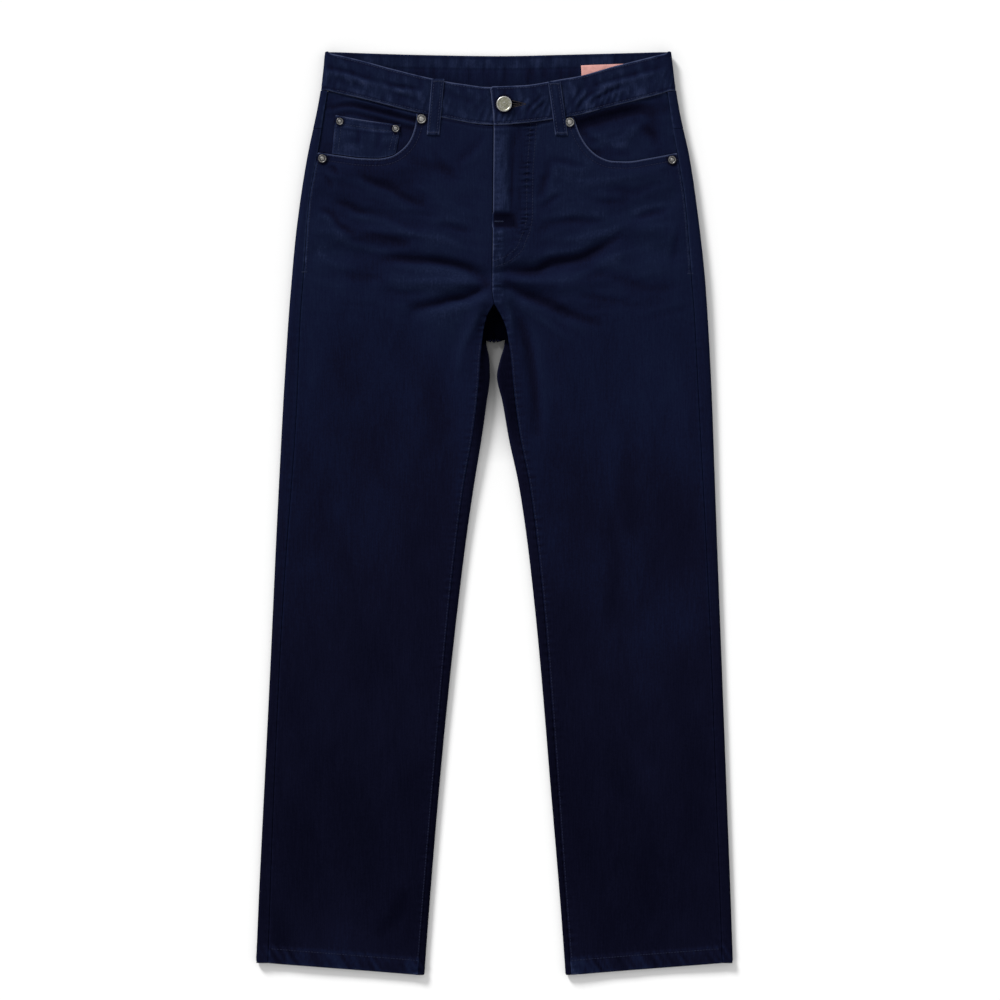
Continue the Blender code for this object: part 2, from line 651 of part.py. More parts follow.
def back_grid(side):
    """Outer points of the whole back of one side, yoke and panel, from the side seam round to the inner seam."""
    inner_count = INNER_FOLD_STEPS + 4
    rows = []

    def build(side_y, tail):
        head = outer_fold(side, side_y, float(top_height(side, edge_x(SIDE_SEAM, side, side_y), side_y)))
        start = np.array(head[-1])
        end = np.array(tail[0])
        middle = [tuple(start + (end - start) * k / FLOOR_COLUMNS) for k in range(1, FLOOR_COLUMNS)]
        rows.append(head + middle + [tuple(p) for p in tail])

    for row in BACK_FLAT_ROWS:
        base = float(lift(row.seam_y))
        start_y = row.seam_y + SEAT_ROW_TILT * (row.side_y - row.seam_y)
        start = (SIGN[side] * SEAT_FLOOR_X, start_y, base)
        shares = np.linspace(0, 1, inner_count)
        build(row.side_y, along([start, (CENTRE_BACK_X, row.seam_y, base)], shares))
    first = FOLD_ROWS[0]
    base = float(lift(first.fold_y))
    radius = first.fold_height / 2
    start = (SIGN[side] * FOLD_FLOOR_X, first.fold_y + FOLD_FLOOR_RISE, base)
    edge = [start, (CENTRE_BACK_X, first.fold_y + radius, base)]
    for k in (1, 2):
        bend = math.pi * k / 4
        edge.append((CENTRE_BACK_X, first.fold_y + radius * (1 - math.sin(bend)), base + radius * (1 - math.cos(bend))))
    build(0.5 * (BACK_FLAT_ROWS[-1].side_y + first.side_y), along(edge, np.linspace(0, 1, inner_count)))
    for row in FOLD_ROWS + leg_fold_rows():
        tail = inner_fold(side, row)
        build(row.side_y, tail)
    return np.array(rows)


def hem_thickness(grid):
    """Cloth thickness of each row: the last two rows are the turned-up hem."""
    deep = np.full(grid.shape[:2], CLOTH)
    deep[-2:] = HEM_THICKNESS
    return deep


def join_normals(front, front_normals, back, back_normals):
    """Gives the front and back panels the same normals along the seams that they share."""
    leg = sum(row.inner_y <= CROTCH_Y for row in FRONT_ROWS)
    for front_column, back_column in ((0, -1), (-1, 0)):
        shared = front_normals[-leg:, front_column] + back_normals[-leg:, back_column]
        shared /= np.linalg.norm(shared, axis=-1, keepdims=True)
        front_normals[-leg:, front_column] = shared
        back_normals[-leg:, back_column] = shared
    up = np.array([0.0, 0.0, 1.0])
    front_normals[:-leg, -1] = up
    back_normals[:-leg, 0] = up
    # On the centre line, up to and with the crotch point, a normal leans to neither side
    for normals, column in ((front_normals, 0), (back_normals, -1)):
        centre = normals[: len(normals) - leg + 1, column]
        centre[:, 0] = 0.0
        centre /= np.linalg.norm(centre, axis=-1, keepdims=True)


def make_panels(side):
    """The front panel, back yoke and back panel of one side."""
    facing = SIGN[side]
    front = front_panel_grid(side)
    back = back_grid(side)
    front_normals = grid_normals(front, facing)
    back_normals = grid_normals(back, facing)
    join_normals(front, front_normals, back, back_normals)
    half = SEAM_GAP / 2 + 0.03
    front = pull_in(front, front_normals, first_row=SEAM_GAP, first_column=half, last_column=half)
    shell(f"front_panel_{side}", front, front_normals, hem_thickness(front))
    yoke_normals = back_normals[: YOKE_ROWS + 1]
    yoke = pull_in(back[: YOKE_ROWS + 1], yoke_normals, SEAM_GAP, half, half, half)
    shell(f"back_yoke_{side}", yoke, yoke_normals, CLOTH)
    panel_normals = back_normals[YOKE_ROWS:]
    panel = pull_in(back[YOKE_ROWS:], panel_normals, half, 0.0, half, half)
    shell(f"back_panel_{side}", panel, panel_normals, hem_thickness(panel))


def make_pocket_facing(side):
    """The cloth that shows in the pocket mouth, reaching under the front panel's edge."""
    sign = SIGN[side]
    columns = 12
    hidden = 7.0
    mouth = along(SCOOP[side], np.linspace(0.0, 1.0, columns))
    tangent = np.gradient(mouth, axis=0)
    tangent /= np.linalg.norm(tangent, axis=-1, keepdims=True)
    outward = np.stack([sign * tangent[:, 1], -sign * tangent[:, 0]], axis=-1)
    lower = mouth + hidden * outward
    side_x = edge_x(SIDE_SEAM, side, lower[-1, 1])
    lower[-1] = (side_x, lower[-1, 1])
    top_x = np.linspace(SCOOP[side][0].x - sign * hidden, float(edge_x(SIDE_SEAM, side, 459.0)), columns)
    upper = np.stack([top_x, curve_y(FRONT_BAND_BOTTOM, top_x) - SEAM_GAP], axis=-1)
    shares = np.linspace(0.0, 1.0, 5)[:, None, None]
    plan = upper + shares * (lower - upper)
    grid = at_top(side, plan[..., 0], plan[..., 1], FACING_DROP)
    normals = np.broadcast_to(np.array([0.0, 0.0, 1.0]), grid.shape)
    grid = pull_in(grid, normals, last_column=SEAM_GAP)
    shell(f"pocket_facing_{side}", grid, normals, CLOTH)


def make_coin_pocket():
    """The small pocket on the right facing. Its lower edge stops at the front panel's pocket mouth."""
    top_left, top_right = COIN_POCKET["top"]
    low_left, low_right = COIN_POCKET["bottom"]
    shares = np.linspace(0.0, 1.0, 8)[:, None]
    upper = np.array(top_left) + shares * (np.array(top_right) - np.array(top_left))
    lower = np.array(low_left) + shares * (np.array(low_right) - np.array(low_left))
    mouth = [(p.x, p.y) for p in SCOOP["right"] if p.y < 420]
    lower[:, 1] = smooth(mouth, lower[:, 0]) + 1.0
    rows = np.linspace(0.0, 1.0, 5)[:, None, None]
    plan = upper + rows * (lower - upper)
    grid = at_top("right", plan[..., 0], plan[..., 1], FACING_DROP - CLOTH - SEAM_GAP)
    normals = np.broadcast_to(np.array([0.0, 0.0, 1.0]), grid.shape)
    shell("coin_pocket", grid, normals, CLOTH)


def lap_rise(x):
    return LAP_CLEARANCE * (1 - step_up(x, *LAP_FADE))


def band_front_row(x_top, x_bottom, lapped, lowered=0.0):
    """One column of the front band, top edge to bottom edge."""
    top = np.array([x_top, float(curve_y(FRONT_BAND_TOP, x_top)) - lowered])
    bottom = np.array([x_bottom, float(curve_y(FRONT_BAND_BOTTOM, x_bottom)) + lowered])
    column = []
    for share in np.linspace(0.0, 1.0, BAND_ROWS + 1):
        x, y = top + share * (bottom - top)
        if lapped:
            own_x = max(x, LAP_OWN_CLOTH_X)
            base = float(top_height("left", own_x, curve_y(FRONT_BAND_BOTTOM, own_x)))
            near = float(top_height("right", FLY_SIDE_X, WAIST_SEAM_Y))
            blend = float(step_up(x, LAP_END_X[0], LAP_OWN_CLOTH_X))
            z = near + (base - near) * blend + BAND_PROUD + float(lap_rise(x))
        else:
            own_x = min(x, FLY_SIDE_X)
            z = float(top_height("right", own_x, curve_y(FRONT_BAND_BOTTOM, own_x))) + BAND_PROUD
        column.append((x, y, z + float(fold_relief(BAND_PUCKERS, x, y))))
    return column


def band_grid():
    """Outer points of the waistband: from the lap's end, round the left side, along the back, and round the right
    side to the end of the under-lap."""
    columns = []
    sides = {}
    for side in SIDES:
        sign = SIGN[side]
        seam_z = float(top_height(side, edge_x(SIDE_SEAM, side, 461.0), 461.0)) + BAND_PROUD
        radius = (seam_z - BACK_LIFT) / 2
        top_x = float(edge_x(OUTER_OUTLINE, side, 501.5)) - sign * radius
        bottom_x = float(edge_x(OUTER_OUTLINE, side, 461.0)) - sign * radius
        sides[side] = (sign, radius, top_x, bottom_x)

    def fold(side, reverse):
        sign, radius, top_x, bottom_x = sides[side]
        turns = np.linspace(0.0, math.pi, OUTER_FOLD_STEPS + 1)[1:-1]
        for turn in reversed(turns) if reverse else turns:
            z = BACK_LIFT + radius * (1 + math.cos(turn))
            out = sign * radius * math.sin(turn)
            front_y = float(curve_y(FRONT_BAND_BOTTOM, bottom_x))
            back_y = float(curve_y(BACK_BAND_BOTTOM, bottom_x))
            bottom_y = front_y + (back_y - front_y) * turn / math.pi
            top_y = float(curve_y(BACK_BAND_TOP, top_x))
            shares = np.linspace(0.0, 1.0, BAND_ROWS + 1)
            columns.append([(top_x + out + s * (bottom_x - top_x), top_y + s * (bottom_y - top_y), z) for s in shares])

    _, _, left_top, left_bottom = sides["left"]
    _, _, right_top, right_bottom = sides["right"]
    for share in np.linspace(0.0, 1.0, BAND_FRONT_COLUMNS + 1):
        x_top = LAP_END_X[0] + share * (left_top - LAP_END_X[0])
        x_bottom = LAP_END_X[1] + share * (left_bottom - LAP_END_X[1])
        columns.append(band_front_row(x_top, x_bottom, True))
    fold("left", False)
    for share in np.linspace(0.0, 1.0, BAND_BACK_COLUMNS + 1):
        x_top = left_top + share * (right_top - left_top)
        x_bottom = left_bottom + share * (right_bottom - left_bottom)
        top = np.array([x_top, float(curve_y(BACK_BAND_TOP, x_top)), BACK_LIFT])
        bottom = np.array([x_bottom, float(curve_y(BACK_BAND_BOTTOM, x_bottom)), BACK_LIFT])
        columns.append([tuple(top + s * (bottom - top)) for s in np.linspace(0.0, 1.0, BAND_ROWS + 1)])
    fold("right", True)
    for share in np.linspace(0.0, 1.0, BAND_FRONT_COLUMNS + 1):
        x_top = right_top + share * (UNDERLAP_END_X - right_top)
        x_bottom = right_bottom + share * (UNDERLAP_END_X - right_bottom)
        under = UNDERLAP_LOWERED * float(step_up(x_top, *UNDERLAP_FROM))
        columns.append(band_front_row(x_top, x_bottom, False, under))
    return np.array(columns).transpose(1, 0, 2)


def make_waistband():
    grid = band_grid()
    normals = grid_normals(grid, 1)
    shell("waistband", grid, normals, BAND_THICKNESS)


def surface_under(side, x, y):
    """Height of what a front loop lies on: the band, then the panel below it."""
    bottom = float(curve_y(FRONT_BAND_BOTTOM, x))
    if side == "left":
        band = band_front_row(x, x, True)[1][2]
    else:
        band = band_front_row(x, x, False)[1][2]
    panel = float(top_height(side, x, min(y, bottom)))
    on_band = float(step_up(y, bottom - 9.0, bottom - 1.5))
    return panel + on_band * (max(band, panel) - panel)


def make_front_loop(loop):
    """A belt loop that follows the band from its top edge down to the panel."""
    rows = []
    for share in np.linspace(0.0, 1.0, 9):
        x = loop.top_x + share * (loop.bottom_x - loop.top_x)
        y = loop.top_y + share * (loop.bottom_y - loop.top_y)
        spread = (-0.5, -0.17, 0.17, 0.5)
        under = max(surface_under(loop.side, x + s * LOOP_WIDTH, y) for s in spread)
        z = under + SEAM_GAP + 0.1 + LOOP_THICKNESS
        rows.append([(x + s * LOOP_WIDTH, y, z) for s in spread])
    grid = np.array(rows)
    normals = np.broadcast_to(np.array([0.0, 0.0, 1.0]), grid.shape)
    shell(loop.name, grid, normals, LOOP_THICKNESS)


def make_back_loop(k, x):
    half = LOOP_WIDTH / 2
    low, high = BACK_LOOP_Y
    outline = [(x - half, low), (x + half, low), (x + half, high), (x - half, high)]
    plate(f"belt_loop_back_{k}", outline, 0.0, CLOTH)


def make_back_pocket(side):
    sign = SIGN[side]
    top_half, low_half = (width / 2 for width in BACK_POCKET_WIDTH)
    top = BACK_POCKET_TOP_Y
    centre = sign * BACK_POCKET_X
    outline = [
        (centre - top_half, top),
        (centre + top_half, top),
        (centre + low_half, top - BACK_POCKET_SIDE),
        (centre, top - BACK_POCKET_POINT),
        (centre - low_half, top - BACK_POCKET_SIDE),
    ]
    plate(f"back_pocket_{side}", outline, 0.0, CLOTH)


def make_stud(stud, base_z, height, rim):
    """A turned metal cap: a rim, a shallow groove and a domed middle."""
    radius = stud.diameter / 2
    profile = [
        (0.0, height),
        (0.45 * radius, 0.97 * height),
        (radius - 2.0 * rim, 0.8 * height),
        (radius - rim, 0.72 * height),
        (radius - 0.35 * rim, 0.62 * height),
        (radius, 0.35 * height),
        (radius, 0.0),
        (0.0, 0.0),
    ]
    builder = bmesh.new()
    verts = [builder.verts.new((r * MM, 0.0, z * MM)) for r, z in profile]
    edges = [builder.edges.new(pair) for pair in zip(verts, verts[1:])]
    bmesh.ops.spin(
        builder,
        geom=verts + edges,
        axis=(0, 0, 1),
        cent=(0, 0, 0),
        angle=2 * math.pi,
        steps=20,
        use_merge=True,
    )
    bmesh.ops.remove_doubles(builder, verts=builder.verts, dist=0.00001)
    obj = add_object(stud.name, builder, METAL)
    obj.location = (stud.x * MM, stud.y * MM, base_z * MM)
    return obj


def highest_around(side, stud, drop=0.0):
    """The highest point of the cloth under a stud, which its flat base just clears."""
    turns = np.linspace(0, 2 * math.pi, 13)
    xs = np.append(stud.x + 0.5 * stud.diameter * np.cos(turns), stud.x)
    ys = np.append(stud.y + 0.5 * stud.diameter * np.sin(turns), stud.y)
    return float(np.max(top_height(side, xs, ys))) - drop


def make_hardware():
    for stud in RIVETS:
        make_stud(stud, highest_around(stud.side, stud) + SEAM_GAP, RIVET_HEIGHT, 1.2)
    for stud in COIN_RIVETS:
        make_stud(stud, highest_around(stud.side, stud) + SEAM_GAP, RIVET_HEIGHT, 1.0)
    half = 0.5 * BUTTON.diameter
    spots = [band_front_row(BUTTON.x + dx, BUTTON.x + dx, True)[1][2] for dx in (-half, 0.0, half)]
    make_stud(BUTTON, max(spots) + SEAM_GAP, BUTTON_HEIGHT, 1.6)


def make_label():
    """The bare cloth label inside the back of the waistband."""
    width, depth, thick = LABEL_SIZE
    ux, uy = math.cos(LABEL_TILT), math.sin(LABEL_TILT)
    x, y = LABEL_CORNER
    corners = [(0, 0), (width, 0), (width, -depth), (0, -depth)]
    outline = [(x + a * ux - b * uy, y + a * uy + b * ux) for a, b in corners]
    plate("waist_label", outline, BACK_LIFT + BAND_THICKNESS + SEAM_GAP, thick, LABEL)


def clear_scene():
    for obj in list(bpy.data.objects):
        bpy.data.objects.remove(obj, do_unlink=True)


clear_scene()
GARMENT = bpy.data.collections.new("straight_leg_jeans")
bpy.context.scene.collection.children.link(GARMENT)
for garment_side in SIDES:
    make_panels(garment_side)
    make_pocket_facing(garment_side)
    make_back_pocket(garment_side)
make_coin_pocket()
make_waistband()
for front_loop in FRONT_LOOPS:
    make_front_loop(front_loop)
for number, loop_x in enumerate(BACK_LOOP_X, start=1):
    make_back_loop(number, loop_x)
make_hardware()
make_label()
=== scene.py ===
import math
from collections import namedtuple

import bmesh
import bpy
import numpy as np
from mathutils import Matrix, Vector
from mathutils.bvhtree import BVHTree


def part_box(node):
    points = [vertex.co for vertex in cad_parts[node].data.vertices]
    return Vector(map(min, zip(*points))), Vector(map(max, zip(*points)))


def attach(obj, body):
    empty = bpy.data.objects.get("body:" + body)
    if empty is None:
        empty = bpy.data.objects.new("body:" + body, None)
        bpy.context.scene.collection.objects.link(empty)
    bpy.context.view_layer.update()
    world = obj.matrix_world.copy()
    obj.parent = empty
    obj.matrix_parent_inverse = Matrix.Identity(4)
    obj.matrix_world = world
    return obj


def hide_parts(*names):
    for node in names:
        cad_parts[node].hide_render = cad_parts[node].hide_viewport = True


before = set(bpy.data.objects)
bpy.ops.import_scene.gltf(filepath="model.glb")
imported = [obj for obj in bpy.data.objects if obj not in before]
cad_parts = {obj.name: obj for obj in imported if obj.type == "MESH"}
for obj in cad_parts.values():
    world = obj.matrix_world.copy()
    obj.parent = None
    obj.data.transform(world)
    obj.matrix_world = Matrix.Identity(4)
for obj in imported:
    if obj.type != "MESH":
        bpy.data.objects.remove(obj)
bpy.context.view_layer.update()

MM = 0.001
CLOTH = 1.2
HEM_THICKNESS = 2.4
HEM_DEPTH = 18
HEM_SIDE_Y = -491
HEM_INNER_Y = -504
BAND_THICKNESS = 2.6
BAND_PROUD = 0.7
SEAM_GAP = 0.3
LOOP_WIDTH = 13.5
LOOP_THICKNESS = 1.6
LABEL_SIZE = (52, 31, 0.8)
BACK_LIFT = CLOTH + SEAM_GAP
LIFT_FULL_Y = 205
LIFT_NONE_Y = 150
FACING_DROP = CLOTH + SEAM_GAP
CENTRE_BACK_X = -0.5
SIDES = ("right", "left")
SIGN = {"right": -1, "left": 1}
CROTCH_Y = 228
WAIST_Y = 461
BAND_TOP_Y = 501.5
FLY_TOP_Y = 421.5


def rows_of(kind, *rows):
    """Rows with named columns."""
    return [kind(*row) for row in rows]


def creases(*rows):
    """Creases, each as its height, width and flank and then X and Y of each point of its path."""
    return [Crease(*row[:3], np.reshape(row[3:], (-1, 2))) for row in rows]


# Outlines and seams seen from above, with X for the wearer's right (-X) and left (+X)
Edge = namedtuple("Edge", "y right left")
OUTER_OUTLINE = rows_of(Edge,
    (501.5, -185, 193), (461, -189.5, 198), (428.5, -196, 204), (385, -204, 212.5), (341, -211, 219),
    (297.5, -216.5, 224.5), (254, -220.5, 229), (210.5, -224, 232), (124.5, -229.5, 236.5),
    (68.5, -232.5, 238.5), (-29.5, -237.5, 242), (-160, -243.5, 247), (-291, -250, 252), (-422, -256.5, 257),
    (-489, -259.3, 259.3))
INNER_OUTLINE = rows_of(Edge,
    (188, -9.5, 11.5), (176.5, -7, 8.5), (163.5, -5, 4.5), (150.5, -5, 2.5), (137.5, -6.5, 6),
    (101.5, -12, 12.5), (36, -22.5, 26.5), (-29.5, -32, 36.5), (-160, -47.5, 50.5), (-291, -60.5, 61.5),
    (-422, -71.5, 72.5), (-502.5, -77.5, 78.5))
SIDE_SEAM = rows_of(Edge,
    (461, -181.5, 188), (423, -187.5, 193.5), (392.5, -192.5, 199), (370, -197, 203), (341, -202, 207.5),
    (265, -207.5, 214), (213.5, -211.5, 218), (117.5, -215.5, 223), (-95, -230.5, 234), (-277, -239.5, 241),
    (-473, -246.5, 248), (-489, -247, 248.5))
INSEAM = rows_of(Edge,
    (228, -0.5, -0.5), (216, -7.5, 6.5), (201.5, -11.5, 12.5), (185.5, -13.5, 15.5), (168, -15.5, 18),
    (149.5, -16.5, 19.5), (121, -19, 22.5), (82, -24, 28), (31.5, -33, 38), (-95, -48.5, 53),
    (-240, -61.5, 64.5), (-390, -74, 75), (-502, -83, 83.5))
FLY_EDGE = rows_of(Edge,
    (422, -1, -1), (300, -2, -2), (243, -2.5, -2.5), (228, -0.5, -0.5))

# Rows of the front, from the waist seam to the hem. side_y and inner_y are where the row meets the side seam and
# the fly edge or inseam, and the three heights are of the outer side of the cloth
FrontRow = namedtuple("FrontRow", "side_y inner_y side_z mid_z inner_z")
FRONT_ROWS = rows_of(FrontRow,
    (461, 421.5, 12.5, 14, 14.5), (392.5, 372, 12.5, 14.5, 15.5), (335.5, 322, 12.5, 14.5, 16),
    (278, 272, 12.5, 14.5, 16.5), (231, 228, 11.8, 14.5, 17), (221.5, 216, 11.5, 14, 14.5),
    (208, 201.5, 11.2, 13.2, 12.8), (191, 185.5, 10.8, 12.2, 11.8), (171, 168, 10.4, 11, 11),
    (151.5, 149.5, 10.1, 10, 10.5), (123, 121, 9.8, 8.8, 10), (85, 82, 9.2, 7.4, 9.4),
    (36, 31.5, 8.7, 6.6, 8.8), (-18.5, -27, 8.4, 6.2, 8.4), (-84, -95, 8.1, 6, 8.1),
    (-149.5, -162, 7.9, 5.9, 7.9), (-214.5, -227, 7.7, 5.8, 7.6), (-280, -293, 7.4, 5.8, 7.4),
    (-345.5, -358.5, 7.2, 5.8, 7.2), (-411, -424, 7, 5.8, 7),
    (HEM_SIDE_Y + HEM_DEPTH + CLOTH, HEM_INNER_Y + HEM_DEPTH + CLOTH, 6.8, 5.8, 6.8),
    (HEM_SIDE_Y + HEM_DEPTH, HEM_INNER_Y + HEM_DEPTH, 6.8, 5.8, 6.8), (HEM_SIDE_Y, HEM_INNER_Y, 6.8, 5.8, 6.8))

# Rows of the front panels above the crotch, and how much of the pocket scoop's shape each still follows
PanelRow = namedtuple("PanelRow", "side_y inner_y scoop_share")
FRONT_PANEL_TOP_ROWS = rows_of(PanelRow,
    (392.5, 421.5, 1), (379, 399, 0.58), (365, 377, 0.28), (350, 355, 0.08), (335.5, 334, 0), (320, 314, 0),
    (306.5, 296, 0), (293, 281, 0), (281, 268, 0), (268, 257, 0), (256, 247, 0), (243, 237.5, 0))

# The pocket mouth of each front panel, from the waist seam down and out to the side seam
Point = namedtuple("Point", "x y")
SCOOP = {
    "right": rows_of(Point,
        (-85, 436), (-85.5, 428.5), (-88, 416.5), (-93, 405), (-101.5, 395.5), (-113, 388.5), (-127.5, 386),
        (-145, 386.5), (-168.5, 389.5), (-192.5, 393)),
    "left": rows_of(Point,
        (86, 432), (88, 426.5), (93, 413), (102.5, 398), (115.5, 387.5), (128, 383.5), (144, 383),
        (168, 386.5), (199, 392.5)),
}

# Rows of the back, from the band to the fold under the crotch: seam_y is on the centre-back seam
BackRow = namedtuple("BackRow", "side_y seam_y")
BACK_FLAT_ROWS = rows_of(BackRow,
    (459, 458.4), (440, 422), (419, 386), (392.5, 354), (365, 323), (350, 308), (335.5, 293), (306.5, 267),
    (281, 244), (262, 225), (251, 206))
YOKE_ROWS = 2
# The yoke reaches up to the band's lower edge: by this much at its first columns, round the side, and then flat
YOKE_RISE = {"right": (0.6, 1.1, 1.4, 1.8, 2.3, 2.3, 2), "left": (0.1, 0.5, 0.9, 1.7, 2.4, 2.4, 2)}
YOKE_FLAT_RISE = 1.5

# Rows where the back folds up under the crotch and round each inner leg edge. fold_turn is 0 where the fold faces
# the hem and 90 where it faces the other leg, and foot_z is where the steep wall under the crotch point ends
FoldRow = namedtuple("FoldRow", "side_y seam_y seam_z fold_right fold_left fold_y fold_turn fold_height foot_z")
FOLD_ROWS = rows_of(FoldRow,
    (239, 203, 5.9, -3, 2, 188.5, 0, 4.4, 5.7), (235.5, 218, 6.6, -5, 4.5, 188.5, 0, 4.4, 6),
    (231, 228, 17, -6.6, 7, 188.5, 0, 4.4, 6.6), (221.5, 216, 14.5, -7.9, 9.2, 188.5, 0, 4.4, 6.2),
    (208, 201.5, 12.8, -9, 11.2, 188.8, 35, 4.4, 5.8), (191, 185.5, 11.8, -8.6, 10.6, 183, 75, 4.8, 6),
    (171, 168, 11, -5.6, 6, 167, 90, 6.2, 7.4), (151.5, 149.5, 10.5, -5, 2.6, 149.5, 90, 7.8, 8.8))
CENTRE_FOLD_ROWS = 3
OUTER_FOLD_STEPS = 5
INNER_FOLD_STEPS = 4
FLOOR_COLUMNS = 6

# The largest folds and the raised strip over the zip: soft ridges (+) and troughs (-) of the front, in plan
Fold = namedtuple("Fold", "x0 y0 x1 y1 x2 y2 width height")
FOLDS = rows_of(Fold,
    (-11, 257, -59, 271, -103, 277, 8.5, -5), (-16, 242, -59, 227, -84, 218, 8, -4.5),
    (-14, 249, -62, 250, -120, 254, 7, 2.5), (10, 264, 70, 268, 118, 288, 8.5, -5),
    (15, 244, 50, 232, 76, 213, 8, -4.5), (13, 254, 72, 247, 125, 255, 7, 2.5),
    (21, 227, 37, 190, 47, 90, 7.5, -4), (-16, 229, -24, 200, -34, 160, 8, 3.5),
    (18, 212, 18, 190, 17, 165, 5.5, 1.5), (-60, 215, -70, 150, -78, 60, 15, 1.5),
    (60, 215, 80, 150, 88, 60, 15, 1.5), (-190, 345, -140, 322, -80, 318, 10, -2),
    (-195, 310, -140, 300, -75, 306, 9, 1.6), (-200, 285, -150, 283, -110, 290, 9, -1.8),
    (200, 345, 150, 325, 90, 318, 10, -2), (205, 305, 150, 312, 95, 330, 9, 1.6),
    (205, 280, 160, 290, 120, 305, 9, -1.8), (-170, 372, -120, 370, -75, 380, 8, 1.4),
    (178, 370, 130, 368, 85, 378, 8, 1.4), (9, 412, 9, 370, 9, 330, 8.5, 1.3),
    (6, 318, 14, 317, 20, 317, 8, -2.2), (-150, -120, -155, -190, -140, -250, 26, 1),
    (150, 30, 152, -60, 165, -150, 24, 1), (105, -60, 112, -160, 125, -260, 18, -0.7))
FOLD_FADE_WIDTH = 14

# The fly: the left front laps over the right one by this much at each height
LapStep = namedtuple("LapStep", "y rise")
FLY_LAP = rows_of(LapStep,
    (422, 3.1), (400, 2.4), (330, 1.7), (280, 1.2), (243, 0))
FLY_LAP_WIDTH = 26

# Waistband edges, seen from above
FRONT_BAND_TOP = rows_of(Point,
    (-179, 501), (-145.5, 493), (-110.5, 483.5), (-67, 473), (-37.5, 467.5), (-5.5, 464.3), (32, 465.5),
    (73.5, 472.5), (94.5, 476.3), (128, 486), (159.5, 494), (187, 501))
FRONT_BAND_BOTTOM = rows_of(Point,
    (-188, 461.5), (-139, 450), (-84.5, 436.3), (-58.5, 431), (-1, 422), (32, 424.5), (62.5, 428.5),
    (87.5, 432.5), (128, 443), (159.5, 450.8), (196, 461))
BACK_BAND_TOP = rows_of(Point,
    (-184, 501.5), (-67, 498), (6, 497), (76, 498.5), (192.5, 501.5))
BACK_BAND_BOTTOM = rows_of(Point, (-189, 461), (4, 459), (197.5, 461))
LAP_END_X = (-4.6, -0.6)
UNDERLAP_END_X = 33
LAP_CLEARANCE = 3.1
LAP_FADE = (36, 80)
BAND_FRONT_COLUMNS = 19
BAND_BACK_COLUMNS = 12
BAND_ROWS = 3
BAND_PUCKERS = rows_of(Fold,
    (80, 470, 88, 450, 96, 436, 4, 1.4), (93, 474, 100, 456, 106, 440, 3.5, -1.2),
    (108, 480, 114, 462, 120, 446, 4.5, 1))

# Hardware, by its centre and diameter
Stud = namedtuple("Stud", "name x y diameter")
RIVETS = rows_of(Stud,
    ("rivet_pocket_right_inner", -79.5, 429, 10.4), ("rivet_pocket_right_outer", -187.5, 386, 9.4),
    ("rivet_pocket_left_inner", 82, 425.5, 10.2), ("rivet_pocket_left_outer", 193.5, 384.5, 9))
COIN_RIVETS = rows_of(Stud, ("rivet_coin_outer", -168.5, 426.5, 8), ("rivet_coin_inner", -107.5, 418.5, 8))
BUTTON = Stud("waist_button", 10.5, 444.7, 17)

# Belt loops: the front two follow the band, the back three lie flat under it
Loop = namedtuple("Loop", "name side top_x top_y bottom_x bottom_y")
FRONT_LOOPS = rows_of(Loop,
    ("belt_loop_front_right", "right", -61.5, 472.5, -67, 411.5),
    ("belt_loop_front_left", "left", 65, 469.5, 73, 411))
BACK_LOOP_X = (-122, 4, 130)
BACK_LOOP_Y = (442, 495)

# Back pockets: a plain patch with a pointed lower edge
BACK_POCKET_X = 112
BACK_POCKET_TOP_Y = 372
BACK_POCKET_WIDTH = (146, 126)
BACK_POCKET_SIDE = 138
BACK_POCKET_POINT = 160
COIN_POCKET = {
    "top": rows_of(Point, (-173, 433.5), (-102, 423)), "bottom": rows_of(Point, (-177, 391.5), (-107.5, 392.5)),
}
LABEL_CORNER = Point(94.5, 488.5)
LABEL_TILT = math.radians(2.2)

# The dressed cloth is a little fuller than the source: its outline by this much, and the inner edges of the legs
# near the crotch by these heights
FULLER = 1
FULLER_BELOW_Y = {"outer": 400, "inner": 120}
BAND_RISE = 1.8
INNER_RISE = ((-20, 0), (40, 1.4), (90, 3), (150, 3.6), (172, 2.4), (190, 0))


def inner_rise(y):
    return float(np.interp(y, *zip(*INNER_RISE)))


def fuller(outline, below_y, more):
    """The rows of an outline below a height, moved apart by so much on both sides."""
    return [Edge(y, a - more, b + more) if y < below_y else Edge(y, a, b) for y, a, b in outline]


OUTER_OUTLINE = fuller(OUTER_OUTLINE, FULLER_BELOW_Y["outer"], FULLER)
INNER_OUTLINE = fuller(INNER_OUTLINE, FULLER_BELOW_Y["inner"], -FULLER)
BACK_BAND_TOP = [p._replace(y=p.y + BAND_RISE) for p in BACK_BAND_TOP]
FRONT_ROWS = [row._replace(inner_z=row.inner_z + inner_rise(row.inner_y)) for row in FRONT_ROWS]
FOLD_ROWS = [
    row._replace(
        seam_z=row.seam_z + inner_rise(row.seam_y), foot_z=row.foot_z + inner_rise(row.seam_y),
        fold_height=row.fold_height + 0.8 * inner_rise(row.seam_y),
    )
    for row in FOLD_ROWS
]


